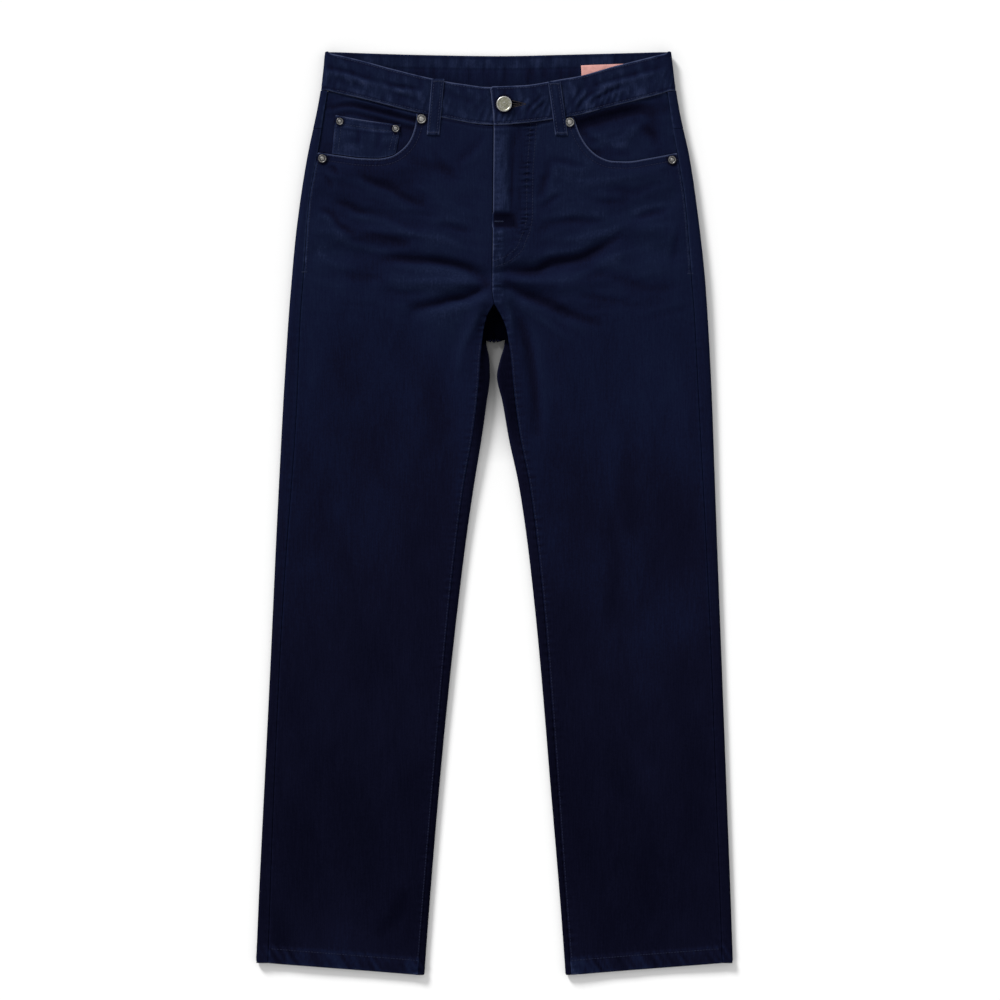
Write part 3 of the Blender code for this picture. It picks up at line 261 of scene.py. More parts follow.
def smooth_rows(stations, values, at):
    """Curves through rows of values at their stations, with slopes limited so that none overshoots."""
    step = np.diff(stations)[:, None]
    rise = np.diff(values, axis=0) / step
    weight_a = 2 * step[1:] + step[:-1]
    weight_b = step[1:] + 2 * step[:-1]
    slope = np.zeros_like(values)
    slope[0], slope[-1] = rise[0], rise[-1]
    same_way = rise[:-1] * rise[1:] > 0
    before = np.where(same_way, rise[:-1], 1)
    after = np.where(same_way, rise[1:], 1)
    slope[1:-1] = np.where(same_way, (weight_a + weight_b) / (weight_a / before + weight_b / after), 0)
    at = np.clip(at, stations[0], stations[-1])
    k = np.clip(np.searchsorted(stations, at, side="right") - 1, 0, len(step) - 1)
    wide = step[k]
    t = (at - stations[k])[:, None] / wide
    keep = (1 + 2 * t) * (1 - t) ** 2 * values[k] + t * t * (3 - 2 * t) * values[k + 1]
    return keep + (t * (1 - t) ** 2 * slope[k] - t * t * (1 - t) * slope[k + 1]) * wide


def smooth(points, at):
    """A curve through (station, value) pairs."""
    pairs = np.array(sorted(points), float)
    at = np.asarray(at, float)
    return smooth_rows(pairs[:, 0], pairs[:, 1:], at.ravel())[:, 0].reshape(at.shape)


def step_up(value, low, high):
    """0 below low and 1 above high, with a soft step between."""
    t = np.clip((np.asarray(value, float) - low) / (high - low), 0, 1)
    return t * t * (3 - 2 * t)


def bell(value, at, width):
    """1 at a place, falling softly to nothing on both sides."""
    return np.exp(-(((value - at) / width) ** 2))


def join(*columns):
    """Points from their coordinates."""
    return np.stack(columns, axis=-1)


def edge_x(table, side, y):
    return smooth([(row.y, getattr(row, side)) for row in table], y)


def seam_at(side, y):
    return edge_x(SIDE_SEAM, side, y)


def curve_y(points, x):
    return smooth([(p.x, p.y) for p in points], x)


def lift(y):
    """Height of the back cloth's outer side over the floor."""
    return BACK_LIFT * step_up(y, LIFT_NONE_Y, LIFT_FULL_Y)


def inner_x(side, y):
    """The front panel's inner edge: the fly edge above the crotch and the inseam below it."""
    y = np.asarray(y, float)
    return np.where(y >= CROTCH_Y, edge_x(FLY_EDGE, side, y), edge_x(INSEAM, side, y))


def fold_relief(folds, x, y):
    """The soft ridges and troughs of a table of folds, each along a bent line with tapered ends."""
    x = np.asarray(x, float)
    y = np.asarray(y, float)
    total = np.zeros(np.broadcast(x, y).shape)
    for fold in folds:
        ends = [(fold.x0, fold.y0, fold.x1, fold.y1, 0), (fold.x1, fold.y1, fold.x2, fold.y2, 0.5)]
        best = np.full(total.shape, np.inf)
        passed = np.zeros(total.shape)
        for xa, ya, xb, yb, start in ends:
            length = math.hypot(xb - xa, yb - ya)
            t = ((x - xa) * (xb - xa) + (y - ya) * (yb - ya)) / length**2
            t = np.clip(t, 0, 1)
            far = np.hypot(x - xa - t * (xb - xa), y - ya - t * (yb - ya))
            nearer = far < best
            best = np.where(nearer, far, best)
            passed = np.where(nearer, start + 0.5 * t, passed)
        taper = 0.45 + 0.55 * np.sin(math.pi * np.clip(passed + 0.25, 0, 1))
        total += fold.height * taper * bell(best, 0, fold.width)
    return total


def row_profile(row, share):
    """Height across one row, from the inner edge (0) to the side seam (1)."""
    near = 0.55
    heights = [
        (0, row.inner_z),
        (0.18, near * row.mid_z + (1 - near) * row.inner_z),
        (0.5, row.mid_z),
        (0.82, near * row.mid_z + (1 - near) * row.side_z),
        (1, row.side_z),
    ]
    return smooth(heights, share)


def top_height(side, x, y):
    """Height of the front's outer side at a place in plan: the rows' profiles, the fly's lap and the folds."""
    x = np.asarray(x, float)
    y = np.asarray(y, float)
    ys, zs = [], []
    for row in FRONT_ROWS:
        x_in = float(inner_x(side, row.inner_y))
        x_out = float(seam_at(side, row.side_y))
        share = np.clip((x - x_in) / (x_out - x_in), 0, 1)
        ys.append(row.inner_y + share * (row.side_y - row.inner_y))
        zs.append(row_profile(row, share))
    ys, zs = np.array(ys), np.array(zs)
    height = zs[0].copy()
    for k in range(len(FRONT_ROWS) - 1):
        t = np.clip((ys[k] - y) / (ys[k] - ys[k + 1]), 0, 1)
        height = np.where(y < ys[k], zs[k] + (zs[k + 1] - zs[k]) * t, height)
    reach = np.abs(x - seam_at(side, y))
    fade = step_up(reach, 0, FOLD_FADE_WIDTH)
    below = step_up(CROTCH_Y - y, 0, 10)
    from_inseam = step_up(np.abs(x - inner_x(side, y)), 0, 0.6 * FOLD_FADE_WIDTH)
    fade = fade * (1 - below + below * from_inseam)
    height = height + fade * fold_relief(FOLDS, x, y)
    if side == "left":
        rise = np.interp(y, [s.y for s in reversed(FLY_LAP)], [s.rise for s in reversed(FLY_LAP)])
        height = height + rise * (1 - step_up(x, 0.3 * FLY_LAP_WIDTH, 1.6 * FLY_LAP_WIDTH))
    return height


def lengths(path):
    """Distance along a bent line at each of its points."""
    steps = np.linalg.norm(np.diff(np.array(path, float), axis=0), axis=1)
    return np.concatenate([[0], np.cumsum(steps)])


def places_at(at, reach, points):
    """Places along a bent line, where reach says how far along each of its points is."""
    return join(*(np.interp(at, reach, points[:, k]) for k in range(points.shape[1])))


def along(points, shares):
    """Points at shares of the length of a bent line."""
    pts = np.array(points, float)
    reach = lengths(pts)
    return places_at(shares, reach / reach[-1], pts)


def grid_normals(grid, facing):
    """Unit normals of a grid of points. facing is +1 or -1, for the side that is out."""
    by_row = np.gradient(grid, axis=0)
    by_column = np.gradient(grid, axis=1)
    normals = facing * np.cross(by_row, by_column)
    return normals / np.maximum(np.linalg.norm(normals, axis=-1, keepdims=True), 1e-9)


def pull_in(grid, normals, first_row=0, last_row=0, first_column=0, last_column=0):
    """Moves the edges of a grid inwards, square to the edge and to its normals, to leave the gap of a seam."""
    grid = grid.copy()

    def shift(edge, inside, edge_normals, amount):
        inward = np.cross(np.gradient(edge, axis=0), edge_normals)
        inward *= np.sign(np.sum(inward * (inside - edge), axis=-1, keepdims=True))
        return edge + amount * inward / np.maximum(np.linalg.norm(inward, axis=-1, keepdims=True), 1e-9)

    if first_column:
        grid[:, 0] = shift(grid[:, 0], grid[:, 1], normals[:, 0], first_column)
    if last_column:
        grid[:, -1] = shift(grid[:, -1], grid[:, -2], normals[:, -1], last_column)
    if first_row:
        grid[0] = shift(grid[0], grid[1], normals[0], first_row)
    if last_row:
        grid[-1] = shift(grid[-1], grid[-2], normals[-1], last_row)
    return grid


def outer_fold(side, y, seam_z):
    """From the side seam over the side's rounded fold and down to the floor, for the back's first columns."""
    sign = SIGN[side]
    base = float(lift(y))
    radius = (seam_z - base) / 2
    seam_x = float(seam_at(side, y))
    crest_x = float(edge_x(OUTER_OUTLINE, side, y)) - sign * radius
    points = [(seam_x, y, seam_z)]
    for k in range(OUTER_FOLD_STEPS + 1):
        turn = math.pi * k / OUTER_FOLD_STEPS
        points.append((crest_x + sign * radius * math.sin(turn), y, base + radius * (1 + math.cos(turn))))
    return points


def inner_fold(side, row):
    """From the floor round the inner fold and up to the seam, for the back's last columns."""
    sign = SIGN[side]
    turn = math.radians(row.fold_turn)
    facing = np.array([-sign * math.sin(turn), -math.cos(turn)])
    edge = np.array([row.fold_right if side == "right" else row.fold_left, row.fold_y])
    base = float(lift(row.fold_y))
    radius = row.fold_height / 2
    centre = edge - facing * radius
    points = [(*(centre - facing * 6), base)]
    for k in range(INNER_FOLD_STEPS + 1):
        angle = math.pi * k / INNER_FOLD_STEPS
        place = centre + facing * radius * math.sin(angle)
        points.append((*place, base + radius * (1 - math.cos(angle))))
    on_centre = row in FOLD_ROWS[:CENTRE_FOLD_ROWS]
    seam_x = CENTRE_BACK_X if on_centre else float(edge_x(INSEAM, side, row.seam_y))
    seam = np.array([seam_x, row.seam_y])
    foot_share = 3.2 / max(float(np.linalg.norm(centre - seam)), 6)
    points.append((*(seam + foot_share * (centre - seam)), row.foot_z))
    points.append((*seam, row.seam_z))
    return points


def leg_fold_rows():
    """The leg's rows below the crotch, where the fold is as high as the inseam."""
    rows = []
    for row in FRONT_ROWS:
        if row.inner_y < FOLD_ROWS[-1].seam_y - 1:
            edges = [float(edge_x(INNER_OUTLINE, side, row.inner_y)) for side in SIDES]
            ends = (row.inner_y, 90, row.inner_z - 0.15, row.inner_z)
            rows.append(FoldRow(row.side_y, row.inner_y, row.inner_z, *edges, *ends))
    return rows


def back_grid(side):
    """Outer points of the whole back of one side, yoke and panel, from the side seam round to the inner seam."""
    inner_count = INNER_FOLD_STEPS + 4
    rows = []

    def build(side_y, tail):
        head = outer_fold(side, side_y, float(top_height(side, seam_at(side, side_y), side_y)))
        start = np.array(head[-1])
        end = np.array(tail[0])
        middle = [tuple(start + (end - start) * k / FLOOR_COLUMNS) for k in range(1, FLOOR_COLUMNS)]
        rows.append(head + middle + [tuple(p) for p in tail])

    for row in BACK_FLAT_ROWS:
        base = float(lift(row.seam_y))
        start = (SIGN[side] * 62, row.seam_y + 0.3 * (row.side_y - row.seam_y), base)
        shares = np.linspace(0, 1, inner_count)
        build(row.side_y, along([start, (CENTRE_BACK_X, row.seam_y, base)], shares))
    first = FOLD_ROWS[0]
    base = float(lift(first.fold_y))
    radius = first.fold_height / 2
    edge = [(SIGN[side] * 34, first.fold_y + 14, base), (CENTRE_BACK_X, first.fold_y + radius, base)]
    for turn in (math.pi / 4, math.pi / 2):
        low = base + radius * (1 - math.cos(turn))
        edge.append((CENTRE_BACK_X, first.fold_y + radius * (1 - math.sin(turn)), low))
    build(0.5 * (BACK_FLAT_ROWS[-1].side_y + first.side_y), along(edge, np.linspace(0, 1, inner_count)))
    for row in FOLD_ROWS + leg_fold_rows():
        build(row.side_y, inner_fold(side, row))
    return np.array(rows)


def lap_rise(x):
    return LAP_CLEARANCE * (1 - step_up(x, *LAP_FADE))


def band_front_row(x_top, x_bottom, lapped, lowered=0):
    """One column of the front band, top edge to bottom edge."""
    top = np.array([x_top, float(curve_y(FRONT_BAND_TOP, x_top)) - lowered])
    bottom = np.array([x_bottom, float(curve_y(FRONT_BAND_BOTTOM, x_bottom)) + lowered])
    column = []
    for share in np.linspace(0, 1, BAND_ROWS + 1):
        x, y = top + share * (bottom - top)
        if lapped:
            base = float(top_height("left", max(x, 60), curve_y(FRONT_BAND_BOTTOM, max(x, 60))))
            near = float(top_height("right", -1, FLY_TOP_Y))
            blend = float(step_up(x, -5, 60))
            z = near + (base - near) * blend + BAND_PROUD + float(lap_rise(x))
        else:
            z = float(top_height("right", min(x, -1), curve_y(FRONT_BAND_BOTTOM, min(x, -1)))) + BAND_PROUD
        column.append((x, y, z + float(fold_relief(BAND_PUCKERS, x, y))))
    return column


def band_grid():
    """Outer points of the waistband: from the lap's end, round the left side, along the back, and round the right
    side to the end of the under-lap."""
    columns, sides = [], {}
    shares = np.linspace(0, 1, BAND_ROWS + 1)
    for side in SIDES:
        sign = SIGN[side]
        seam_z = float(top_height(side, seam_at(side, WAIST_Y), WAIST_Y)) + BAND_PROUD
        radius = (seam_z - BACK_LIFT) / 2
        edges = [float(edge_x(OUTER_OUTLINE, side, y)) - sign * radius for y in (BAND_TOP_Y, WAIST_Y)]
        sides[side] = (sign, radius, *edges)

    def fold(side, step):
        sign, radius, top_x, bottom_x = sides[side]
        for turn in np.linspace(0, math.pi, OUTER_FOLD_STEPS + 1)[1:-1][::step]:
            z = BACK_LIFT + radius * (1 + math.cos(turn))
            x = top_x + sign * radius * math.sin(turn)
            front_y, back_y = (float(curve_y(line, bottom_x)) for line in (FRONT_BAND_BOTTOM, BACK_BAND_BOTTOM))
            bottom_y = front_y + (back_y - front_y) * turn / math.pi
            y = float(curve_y(BACK_BAND_TOP, top_x))
            columns.append([(x + s * (bottom_x - top_x), y + s * (bottom_y - y), z) for s in shares])

    def run(start, end, count):
        """Where each column meets the band's upper and lower edge."""
        for share in np.linspace(0, 1, count + 1):
            yield tuple(a + share * (b - a) for a, b in zip(start, end))

    left, right = sides["left"][2:], sides["right"][2:]
    for x_top, x_bottom in run(LAP_END_X, left, BAND_FRONT_COLUMNS):
        columns.append(band_front_row(x_top, x_bottom, True))
    fold("left", 1)
    for x_top, x_bottom in run(left, right, BAND_BACK_COLUMNS):
        top = np.array([x_top, float(curve_y(BACK_BAND_TOP, x_top)), BACK_LIFT])
        bottom = np.array([x_bottom, float(curve_y(BACK_BAND_BOTTOM, x_bottom)), BACK_LIFT])
        columns.append([tuple(top + s * (bottom - top)) for s in shares])
    fold("right", -1)
    for x_top, x_bottom in run(right, (UNDERLAP_END_X, UNDERLAP_END_X), BAND_FRONT_COLUMNS):
        columns.append(band_front_row(x_top, x_bottom, False, 0.6 * float(step_up(x_top, -30, -5))))
    return np.array(columns).transpose(1, 0, 2)


def surface_under(side, x, y):
    """Height of what a front loop lies on: the band, then the panel below it."""
    bottom = float(curve_y(FRONT_BAND_BOTTOM, x))
    band = band_front_row(x, x, side == "left")[1][2]
    panel = float(top_height(side, x, min(y, bottom)))
    return panel + float(step_up(y, bottom - 9, bottom - 1.5)) * (max(band, panel) - panel)


# Rows and columns of the fine grids lie closer together near an edge, at these distances from it
EDGE_STEPS = (0, 0.4, 0.9, 1.6, 2.5, 3.6, 5, 6.6, 8.4, 10.6, 13.2)
WAIST_SHARE = 0.35
BACK_ROW_PITCH = 3.1
BACK_COLUMN_PITCH = 3.6

# Creases of the front: height is that of the ridge (+) or trough (-), and flank the part of it that comes back
# with the other sign beside it, on the left (+) or right (-) of the path
Crease = namedtuple("Crease", "height width flank path")
FRONT_CREASES = {
    "right": creases(
        (-1.1, 4.2, -0.6, -152.5, 373.5, -131.5, 360.5, -112.5, 354, -94.5, 343, -74, 336.5),
        (-0.8, 3.4, -0.5, -175, 340, -157.5, 335, -144.5, 328.5, -130.5, 328.5),
        (-1, 3.4, -0.7, -190.5, 330.5, -179.5, 327, -170, 316, -157, 306.5, -151, 303),
        (-0.9, 4.2, 0.5, -145, 304, -130.5, 301.5, -112.5, 298, -90, 293),
        (-0.7, 2.6, 0.5, -178, 379, -169.5, 367.5), (-0.7, 2.6, 0.4, -188, 371, -180, 361, -176, 352),
        (-0.7, 4, 0.4, -61.5, 314, -44, 311, -25.5, 306.5), (-0.7, 7, 0, -92, 386, -66, 378, -42, 371.5),
        (0.7, 3.6, 0, -90, 358.5, -82, 355, -73.5, 349.5, -56, 343),
        (0.7, 3.6, 0, -144.5, 347.5, -121.5, 341, -106.5, 334.5, -90, 328),
        (1, 4, 0.3, -158.5, 325.5, -144.5, 320.5, -121.5, 317, -96.5, 306.5, -73.5, 300, -49.5, 296.5,
         -34.5, 285.5),
        (1, 4.4, 0.3, -186, 310.5, -169.5, 301.5, -157.5, 293, -138, 289, -121.5, 285.5, -90, 283.5),
        (-1.65, 4.8, -0.4, -126, 277, -112.5, 277.5, -90, 276, -58.5, 274, -34.5, 269, -19.5, 261.5,
         -9, 253, -3, 246),
        (-1.6, 4.8, 0.4, -4, 249, -12, 246, -25.5, 238.5, -49.5, 232.5, -66, 228, -94, 222.5),
        (0.9, 4, 0.4, -10.5, 223.5, -19.5, 211.5, -28, 196, -36.5, 178, -41, 150),
        (0.9, 4.5, 0, -20, 252, -50, 252, -92, 250, -124, 256),
        (-0.6, 3.4, 0.3, -120, 244, -96, 239, -74, 240), (-0.5, 6, 0.2, -168, 262, -140, 256, -112, 258),
        (0.5, 6, 0, -196, 285, -172, 272, -150, 266), (-0.6, 5, 0.2, -70, 402, -62, 386, -50, 372, -34, 362),
        (-0.5, 4, 0.3, -10, 414, -24, 396, -44, 380), (-0.7, 9, 0, -96, -408, -108, -440, -132, -462)),
    "left": creases(
        (-0.9, 4.4, 0.5, 61, 386, 57, 369, 52, 353.5, 50, 338),
        (-0.9, 2.4, 0, 27, 421, 22.5, 407, 18.5, 396, 17.8, 372, 17.8, 326),
        (-0.8, 3.6, -0.4, 59.5, 386, 80, 381, 99.5, 378), (-0.7, 3.4, 0.5, 50, 331, 64.5, 342.5, 74, 346),
        (-0.9, 3.8, 0.5, 48.5, 307.5, 59.5, 315, 92, 318.5, 123.5, 316.5),
        (1, 4.2, 0, 52, 298.5, 92, 298.5, 123.5, 305, 149, 315),
        (-1.6, 4.6, 0.5, -2, 262, 14, 263.5, 43, 264, 59.5, 273, 92, 278, 117.5, 291, 142, 305),
        (-0.9, 4, 0.5, 151, 320, 169.5, 326, 188, 329.5), (-0.6, 3.6, -0.5, 202, 314, 197, 291, 192.5, 265),
        (-0.7, 6, 0.3, 98.5, 267, 140, 254, 173, 245.5, 203.5, 250.5),
        (-1.2, 4.8, -0.4, 3, 253, 12.5, 250.5, 28, 241, 59.5, 228, 92, 213.5, 119, 206),
        (-1, 5, 0.4, 19, 232.5, 28, 210.5, 37, 181, 45, 124.5, 48, 82),
        (0.9, 4.4, 0, 28, 226.5, 59.5, 205, 86, 186), (0.9, 3.6, 0, 11.5, 234.5, 18, 205, 16, 181),
        (1, 4.8, 0, 16, 256, 48, 252, 84, 256, 120, 272, 150, 288),
        (-0.6, 5, 0.3, 120, 352, 150, 350, 182, 360), (-0.5, 4, 0.3, 96, 344, 124, 338, 150, 342),
        (0.6, 4.5, 0, 70, 366, 98, 359, 128, 362, 158, 372), (-0.6, 4, 0.4, 92, 238, 122, 232, 150, 230),
        (-0.6, 12, 0, 150, 120, 146, 40, 152, -40), (-0.7, 9, 0, 124, 10, 132, -60, 122, -130)),
}

# Short creases of the pocket facings, the waistband's outer side and its inner side at the back
FACING_CREASES = creases(
    (0.8, 5, 0, 96, 414, 119.5, 406.5, 146.5, 400), (-0.8, 5, 0, 94, 400, 106, 393, 120, 392),
    (1.1, 5.5, 0, 128, 398, 142, 409, 156, 421, 166, 430), (-0.55, 7, 0, 170, 438, 172, 418, 177, 398),
    (-0.9, 5.5, 0, 90, 424, 100, 411, 114, 403), (-0.6, 5, 0.3, 150, 428, 166, 418, 180, 404),
    (-0.5, 3, 0.4, -152, 424, -148, 410, -150, 396), (-0.5, 3, 0.4, -128, 421, -126, 408, -130, 394))
BAND_CREASES = creases(
    (-0.9, 2.4, -0.7, -184, 485.5, -164, 481.5, -138, 473, -124, 469),
    (-0.6, 3, 0.5, -176, 474, -156, 466, -140, 462), (-0.6, 2.6, 0.5, -110, 456, -96, 452, -80, 446),
    (-0.9, 2.4, -0.7, -124, 471, -109.5, 465.5, -91, 463, -78, 460),
    (-0.7, 2.6, -0.7, 97.5, 456.5, 115, 467.5, 133.5, 473, 161, 480.5, 186, 487),
    (0.5, 2.4, 0, 80.5, 443.5, 92, 458, 105, 466), (0.5, 2.4, 0, 110.5, 456.5, 133.5, 468.5),
    (-0.7, 1.8, -0.6, 33, 433, 38.5, 441.5, 47, 450, 54, 456), (-0.6, 1.8, -0.6, 42, 432, 47, 440, 56, 448),
    (-0.6, 1.8, -0.6, 24, 436, 30, 446, 36, 454), (-0.9, 2.4, -0.6, 80.9, 440, 87, 450, 94.5, 460, 102, 466),
    (-0.9, 2.4, -0.6, 88, 437.5, 96, 448, 105, 456.5, 120, 463),
    (-0.8, 2.4, -0.6, 102, 444.5, 112, 452, 126.6, 459.5, 143, 466),
    (-0.4, 3, 0.3, -56, 462, -40, 452, -22, 446))
LAP_CORNER = 3.6

# The buttonhole beside the button: an open wedge from x0 to x1, this high on each side of y at its wide end
Buttonhole = namedtuple("Buttonhole", "x0 x1 y half")
BUTTONHOLE = Buttonhole(17, 34, 445, 4.2)
INNER_BAND_CREASES = creases(
    (0.7, 2.6, 0.6, -72.5, 497, -71, 486, -74, 474), (0.7, 2.4, 0.6, -42, 497, -43, 484, -40, 468),
    (0.7, 2.4, 0.6, -31, 495, -30, 482, -32, 466), (0.7, 2.2, 0.6, -13.5, 496, -14.5, 482, -12, 464),
    (0.5, 2.4, 0.6, 10, 494, 8, 478, 10, 464), (0.6, 2.2, 0.6, 38, 496, 37, 484, 39, 472),
    (0.6, 2.2, 0.6, 50, 496, 48, 484, 49, 474), (0.5, 2.6, 0.6, 66, 497, 67, 486, 64, 476))

# Along under the waistband: distance below it, half width, height and tone; the tone is painted shade in the
# hollows and painted highlight on the ridges
FACING_ROWS = {
    "right": ((3.6, 1.5, 1.5, 0.06), (8.6, 2.5, -1.1, -0.36), (13.4, 1.9, 1, 0.1), (18.6, 2.2, -0.8, -0.22)),
    "left": ((1, 1.2, 1, 0), (7.5, 4.2, -1.5, -0.42), (13, 3.5, -0.6, -0.2), (28, 4, 0.5, 0.05)),
}

# Creases of the back, where it lies on the floor: the cloth lifts a little along them
BACK_CREASES = creases(
    (1.2, 5, 0, 60, 196, 96, 190, 150, 202), (1.1, 5, 0, 48, 168, 90, 158, 140, 166, 176, 160),
    (0.8, 6, 0, 70, 130, 120, 122, 164, 134), (0.9, 7, 0, 88, 40, 130, 26, 170, 34),
    (0.8, 6, 0, 96, -8, 134, -16, 180, -4), (0.7, 8, 0, 110, -120, 128, -200, 122, -280),
    (0.7, 7, 0, 180, -180, 186, -260, 176, -330), (0.6, 6, 0, 110, -400, 150, -412, 200, -398))

# Uneven puckers along the seams: how high, how far they reach from the seam, and how far apart they are
Puckers = namedtuple("Puckers", "height reach pitch seed")
SIDE_PUCKERS = Puckers(0.26, 5, 9.5, 1.3)
INSEAM_PUCKERS = Puckers(0.8, 6.5, 8.4, 2.9)
MOUTH_PUCKERS = Puckers(0.36, 5.5, 8, 0.7)
FLY_PUCKERS = Puckers(1.3, 5.5, 6.2, 4.1)
HEM_PUCKERS = Puckers(0.75, 6, 8.6, 5.3)
BAND_RIPPLES = Puckers(0.62, 9, 7, 3.7)
CREASE_DEPTH = 1.45
RIDGE_HEIGHT = 1.05

# The strip over the zip, from the fly edge to this X and down to this Y, and the lower end of the hollow below it
FLY_STRIP_X = 16.5
FLY_STRIP_Y = 326.5
FLY_HOLLOW_Y = 310
FLY_EDGE_STRIP = (9.5, 226, FLY_HOLLOW_Y)
HIP_Y = (258, 270)
# The curve of the fly's stitches, from the waist down and round to the fly edge
FLY_PATH = ((46, 428), (44, 400), (41.8, 370), (41.2, 322), (38.6, 307), (34.6, 297.5), (30.6, 287),
            (24, 280), (15, 273.5), (1, 268))


def stations(marks, pitch, first=True, last=True):
    """Places along a row of marks: the marks, even steps between them, and close ones near the ends asked for."""
    near = EDGE_STEPS[-1]
    low, high = marks[0], marks[-1]
    places = set()
    for a, b in zip(marks, marks[1:]):
        count = max(2, math.ceil((b - a) / pitch))
        places.update(a + (b - a) * k / count for k in range(1, count))
    places = {p for p in places if not (first and p - low < near) and not (last and high - p < near)}
    if first:
        places.update(low + e for e in EDGE_STEPS)
    if last:
        places.update(high - e for e in EDGE_STEPS)
    kept = list(marks)
    for place in sorted(places):
        if min(abs(place - k) for k in kept) > 0.3:
            kept.append(place)
    return np.array(sorted(kept))


def chords(grid, axis):
    """Mean distance along a grid at each of its rows (axis 0) or columns (axis 1)."""
    steps = np.linalg.norm(np.diff(grid, axis=axis), axis=-1).mean(axis=1 - axis)
    return np.concatenate([[0], np.cumsum(steps)])


def refine(grid, row_at, column_at):
    """A finer grid on smooth curves through the points of a coarse one."""
    rows, columns = grid.shape[:2]
    fine = smooth_rows(chords(grid, 0), grid.reshape(rows, -1), row_at).reshape(len(row_at), columns, 3)
    turned = fine.transpose(1, 0, 2).reshape(columns, -1)
    fine = smooth_rows(chords(grid, 1), turned, column_at).reshape(len(column_at), len(row_at), 3)
    return fine.transpose(1, 0, 2)


def beside(path, off):
    """A line beside a bent one, off to its left (+) or right (-)."""
    pts = np.array(path, float)
    tangent = np.gradient(pts, axis=0)
    tangent /= np.linalg.norm(tangent, axis=-1, keepdims=True)
    return pts + off * join(-tangent[:, 1], tangent[:, 0])


def path_places(path, x, y, reach):
    """Which places lie within reach of a bent line, how far they are from it (+ on its left) and how far along."""
    pts = np.array(path, float)
    low, high = pts.min(axis=0) - reach, pts.max(axis=0) + reach
    near = (x > low[0]) & (x < high[0]) & (y > low[1]) & (y < high[1])
    xs, ys = x[near], y[near]
    best = np.full(xs.shape, 1e9)
    signed = np.zeros(xs.shape)
    run_at = np.zeros(xs.shape)
    done = 0
    for (xa, ya), (xb, yb) in zip(pts, pts[1:]):
        length = math.hypot(xb - xa, yb - ya)
        t = np.clip(((xs - xa) * (xb - xa) + (ys - ya) * (yb - ya)) / length**2, 0, 1)
        dx, dy = xs - xa - t * (xb - xa), ys - ya - t * (yb - ya)
        far = np.hypot(dx, dy)
        nearer = far < best
        side = np.where((xb - xa) * dy - (yb - ya) * dx >= 0, 1, -1)
        best = np.where(nearer, far, best)
        signed = np.where(nearer, side * far, signed)
        run_at = np.where(nearer, done + t * length, run_at)
        done += length
    return near, signed, run_at, done


def off_line(path, x, y, reach):
    """Distance from a bent line, and 99 where that is far beyond reach."""
    near, off, _, _ = path_places(path, x, y, reach)
    full = np.full(x.shape, 99.0)
    full[near] = np.abs(off)
    return full


def crease_relief(creases, x, y):
    total = np.zeros(x.shape)
    for crease in creases:
        near, off, run_at, length = path_places(bend(crease.path, 16), x, y, 4 * crease.width)
        if not near.any():
            continue
        share = run_at / length
        taper = np.sin(math.pi * np.clip(share, 0, 1)) ** 0.6
        profile = bell(off, 0, crease.width)
        if crease.flank:
            off_flank = off - math.copysign(1.9 * crease.width, crease.flank)
            profile -= abs(crease.flank) * bell(off_flank, 0, 1.15 * crease.width)
        depth = CREASE_DEPTH if crease.height < 0 else RIDGE_HEIGHT
        total[near] += depth * crease.height * taper * profile
    return total


def bend(path, count):
    """A smooth curve through the points of a path, as count + 1 points."""
    reach = lengths(path)
    return smooth_rows(reach, np.array(path, float), np.linspace(0, reach[-1], count + 1))


def ripple(run_at, pitch, seed):
    """An uneven wave, whose pitch and height drift along the way."""
    drift = 0.9 * np.sin(run_at / (1.9 * pitch) + seed) + 0.6 * np.sin(run_at / (0.83 * pitch) + 2.3 * seed)
    size = 0.7 + 0.3 * np.sin(run_at / (1.37 * pitch) + 1.7 * seed)
    return size * np.sin(2 * math.pi * run_at / pitch + drift)


def puckers(kind, off, run_at, shift=0):
    return kind.height * bell(off, 0, kind.reach) * ripple(run_at, kind.pitch, kind.seed + shift)


def unevenness(x, y, size_x, size_y, seed):
    """A smooth random field from -1 to 1, with features of about this size."""
    table = np.random.default_rng(seed).uniform(-1, 1, (64, 64))
    gx, gy = x / size_x + 32, y / size_y + 32
    ix, iy = np.floor(gx).astype(int), np.floor(gy).astype(int)
    fx, fy = step_up(gx - ix, 0, 1), step_up(gy - iy, 0, 1)
    low = table[ix % 64, iy % 64] * (1 - fx) + table[(ix + 1) % 64, iy % 64] * fx
    high = table[ix % 64, (iy + 1) % 64] * (1 - fx) + table[(ix + 1) % 64, (iy + 1) % 64] * fx
    return low * (1 - fy) + high * fy


def undulation(x, y):
    """The slow unevenness of cloth that has been worn and laid out."""
    leaning = x + 0.16 * y
    wide = 0.55 * unevenness(leaning, y, 46, 120, 5) + 0.28 * unevenness(leaning, y, 24, 58, 6)
    hips = step_up(y, 190, 230) * (1 - step_up(y, 372, 400))
    fan = y - 0.26 * np.abs(x)
    fine = 0.30 * unevenness(x, fan, 34, 7, 11) + 0.2 * unevenness(x, y - 0.1 * np.abs(x), 17, 4.6, 12)
    return wide + 0.14 * unevenness(x - 0.3 * y, y, 12, 27, 7) + hips * fine


def rolled(off, drop=0.5, width=1.3):
    """How far the outer side sinks towards an edge at this distance."""
    return drop * (1 - np.clip(np.abs(off) / width, 0, 1)) ** 2


def hem_reach(side, x, y):
    """Distance above the hem's lower edge, which runs straight from the inseam to the side seam."""
    x_in = float(inner_x(side, HEM_INNER_Y))
    x_out = float(seam_at(side, HEM_SIDE_Y))
    share = np.clip((x - x_in) / (x_out - x_in), -0.1, 1.1)
    return y - (HEM_INNER_Y + share * (HEM_SIDE_Y - HEM_INNER_Y))


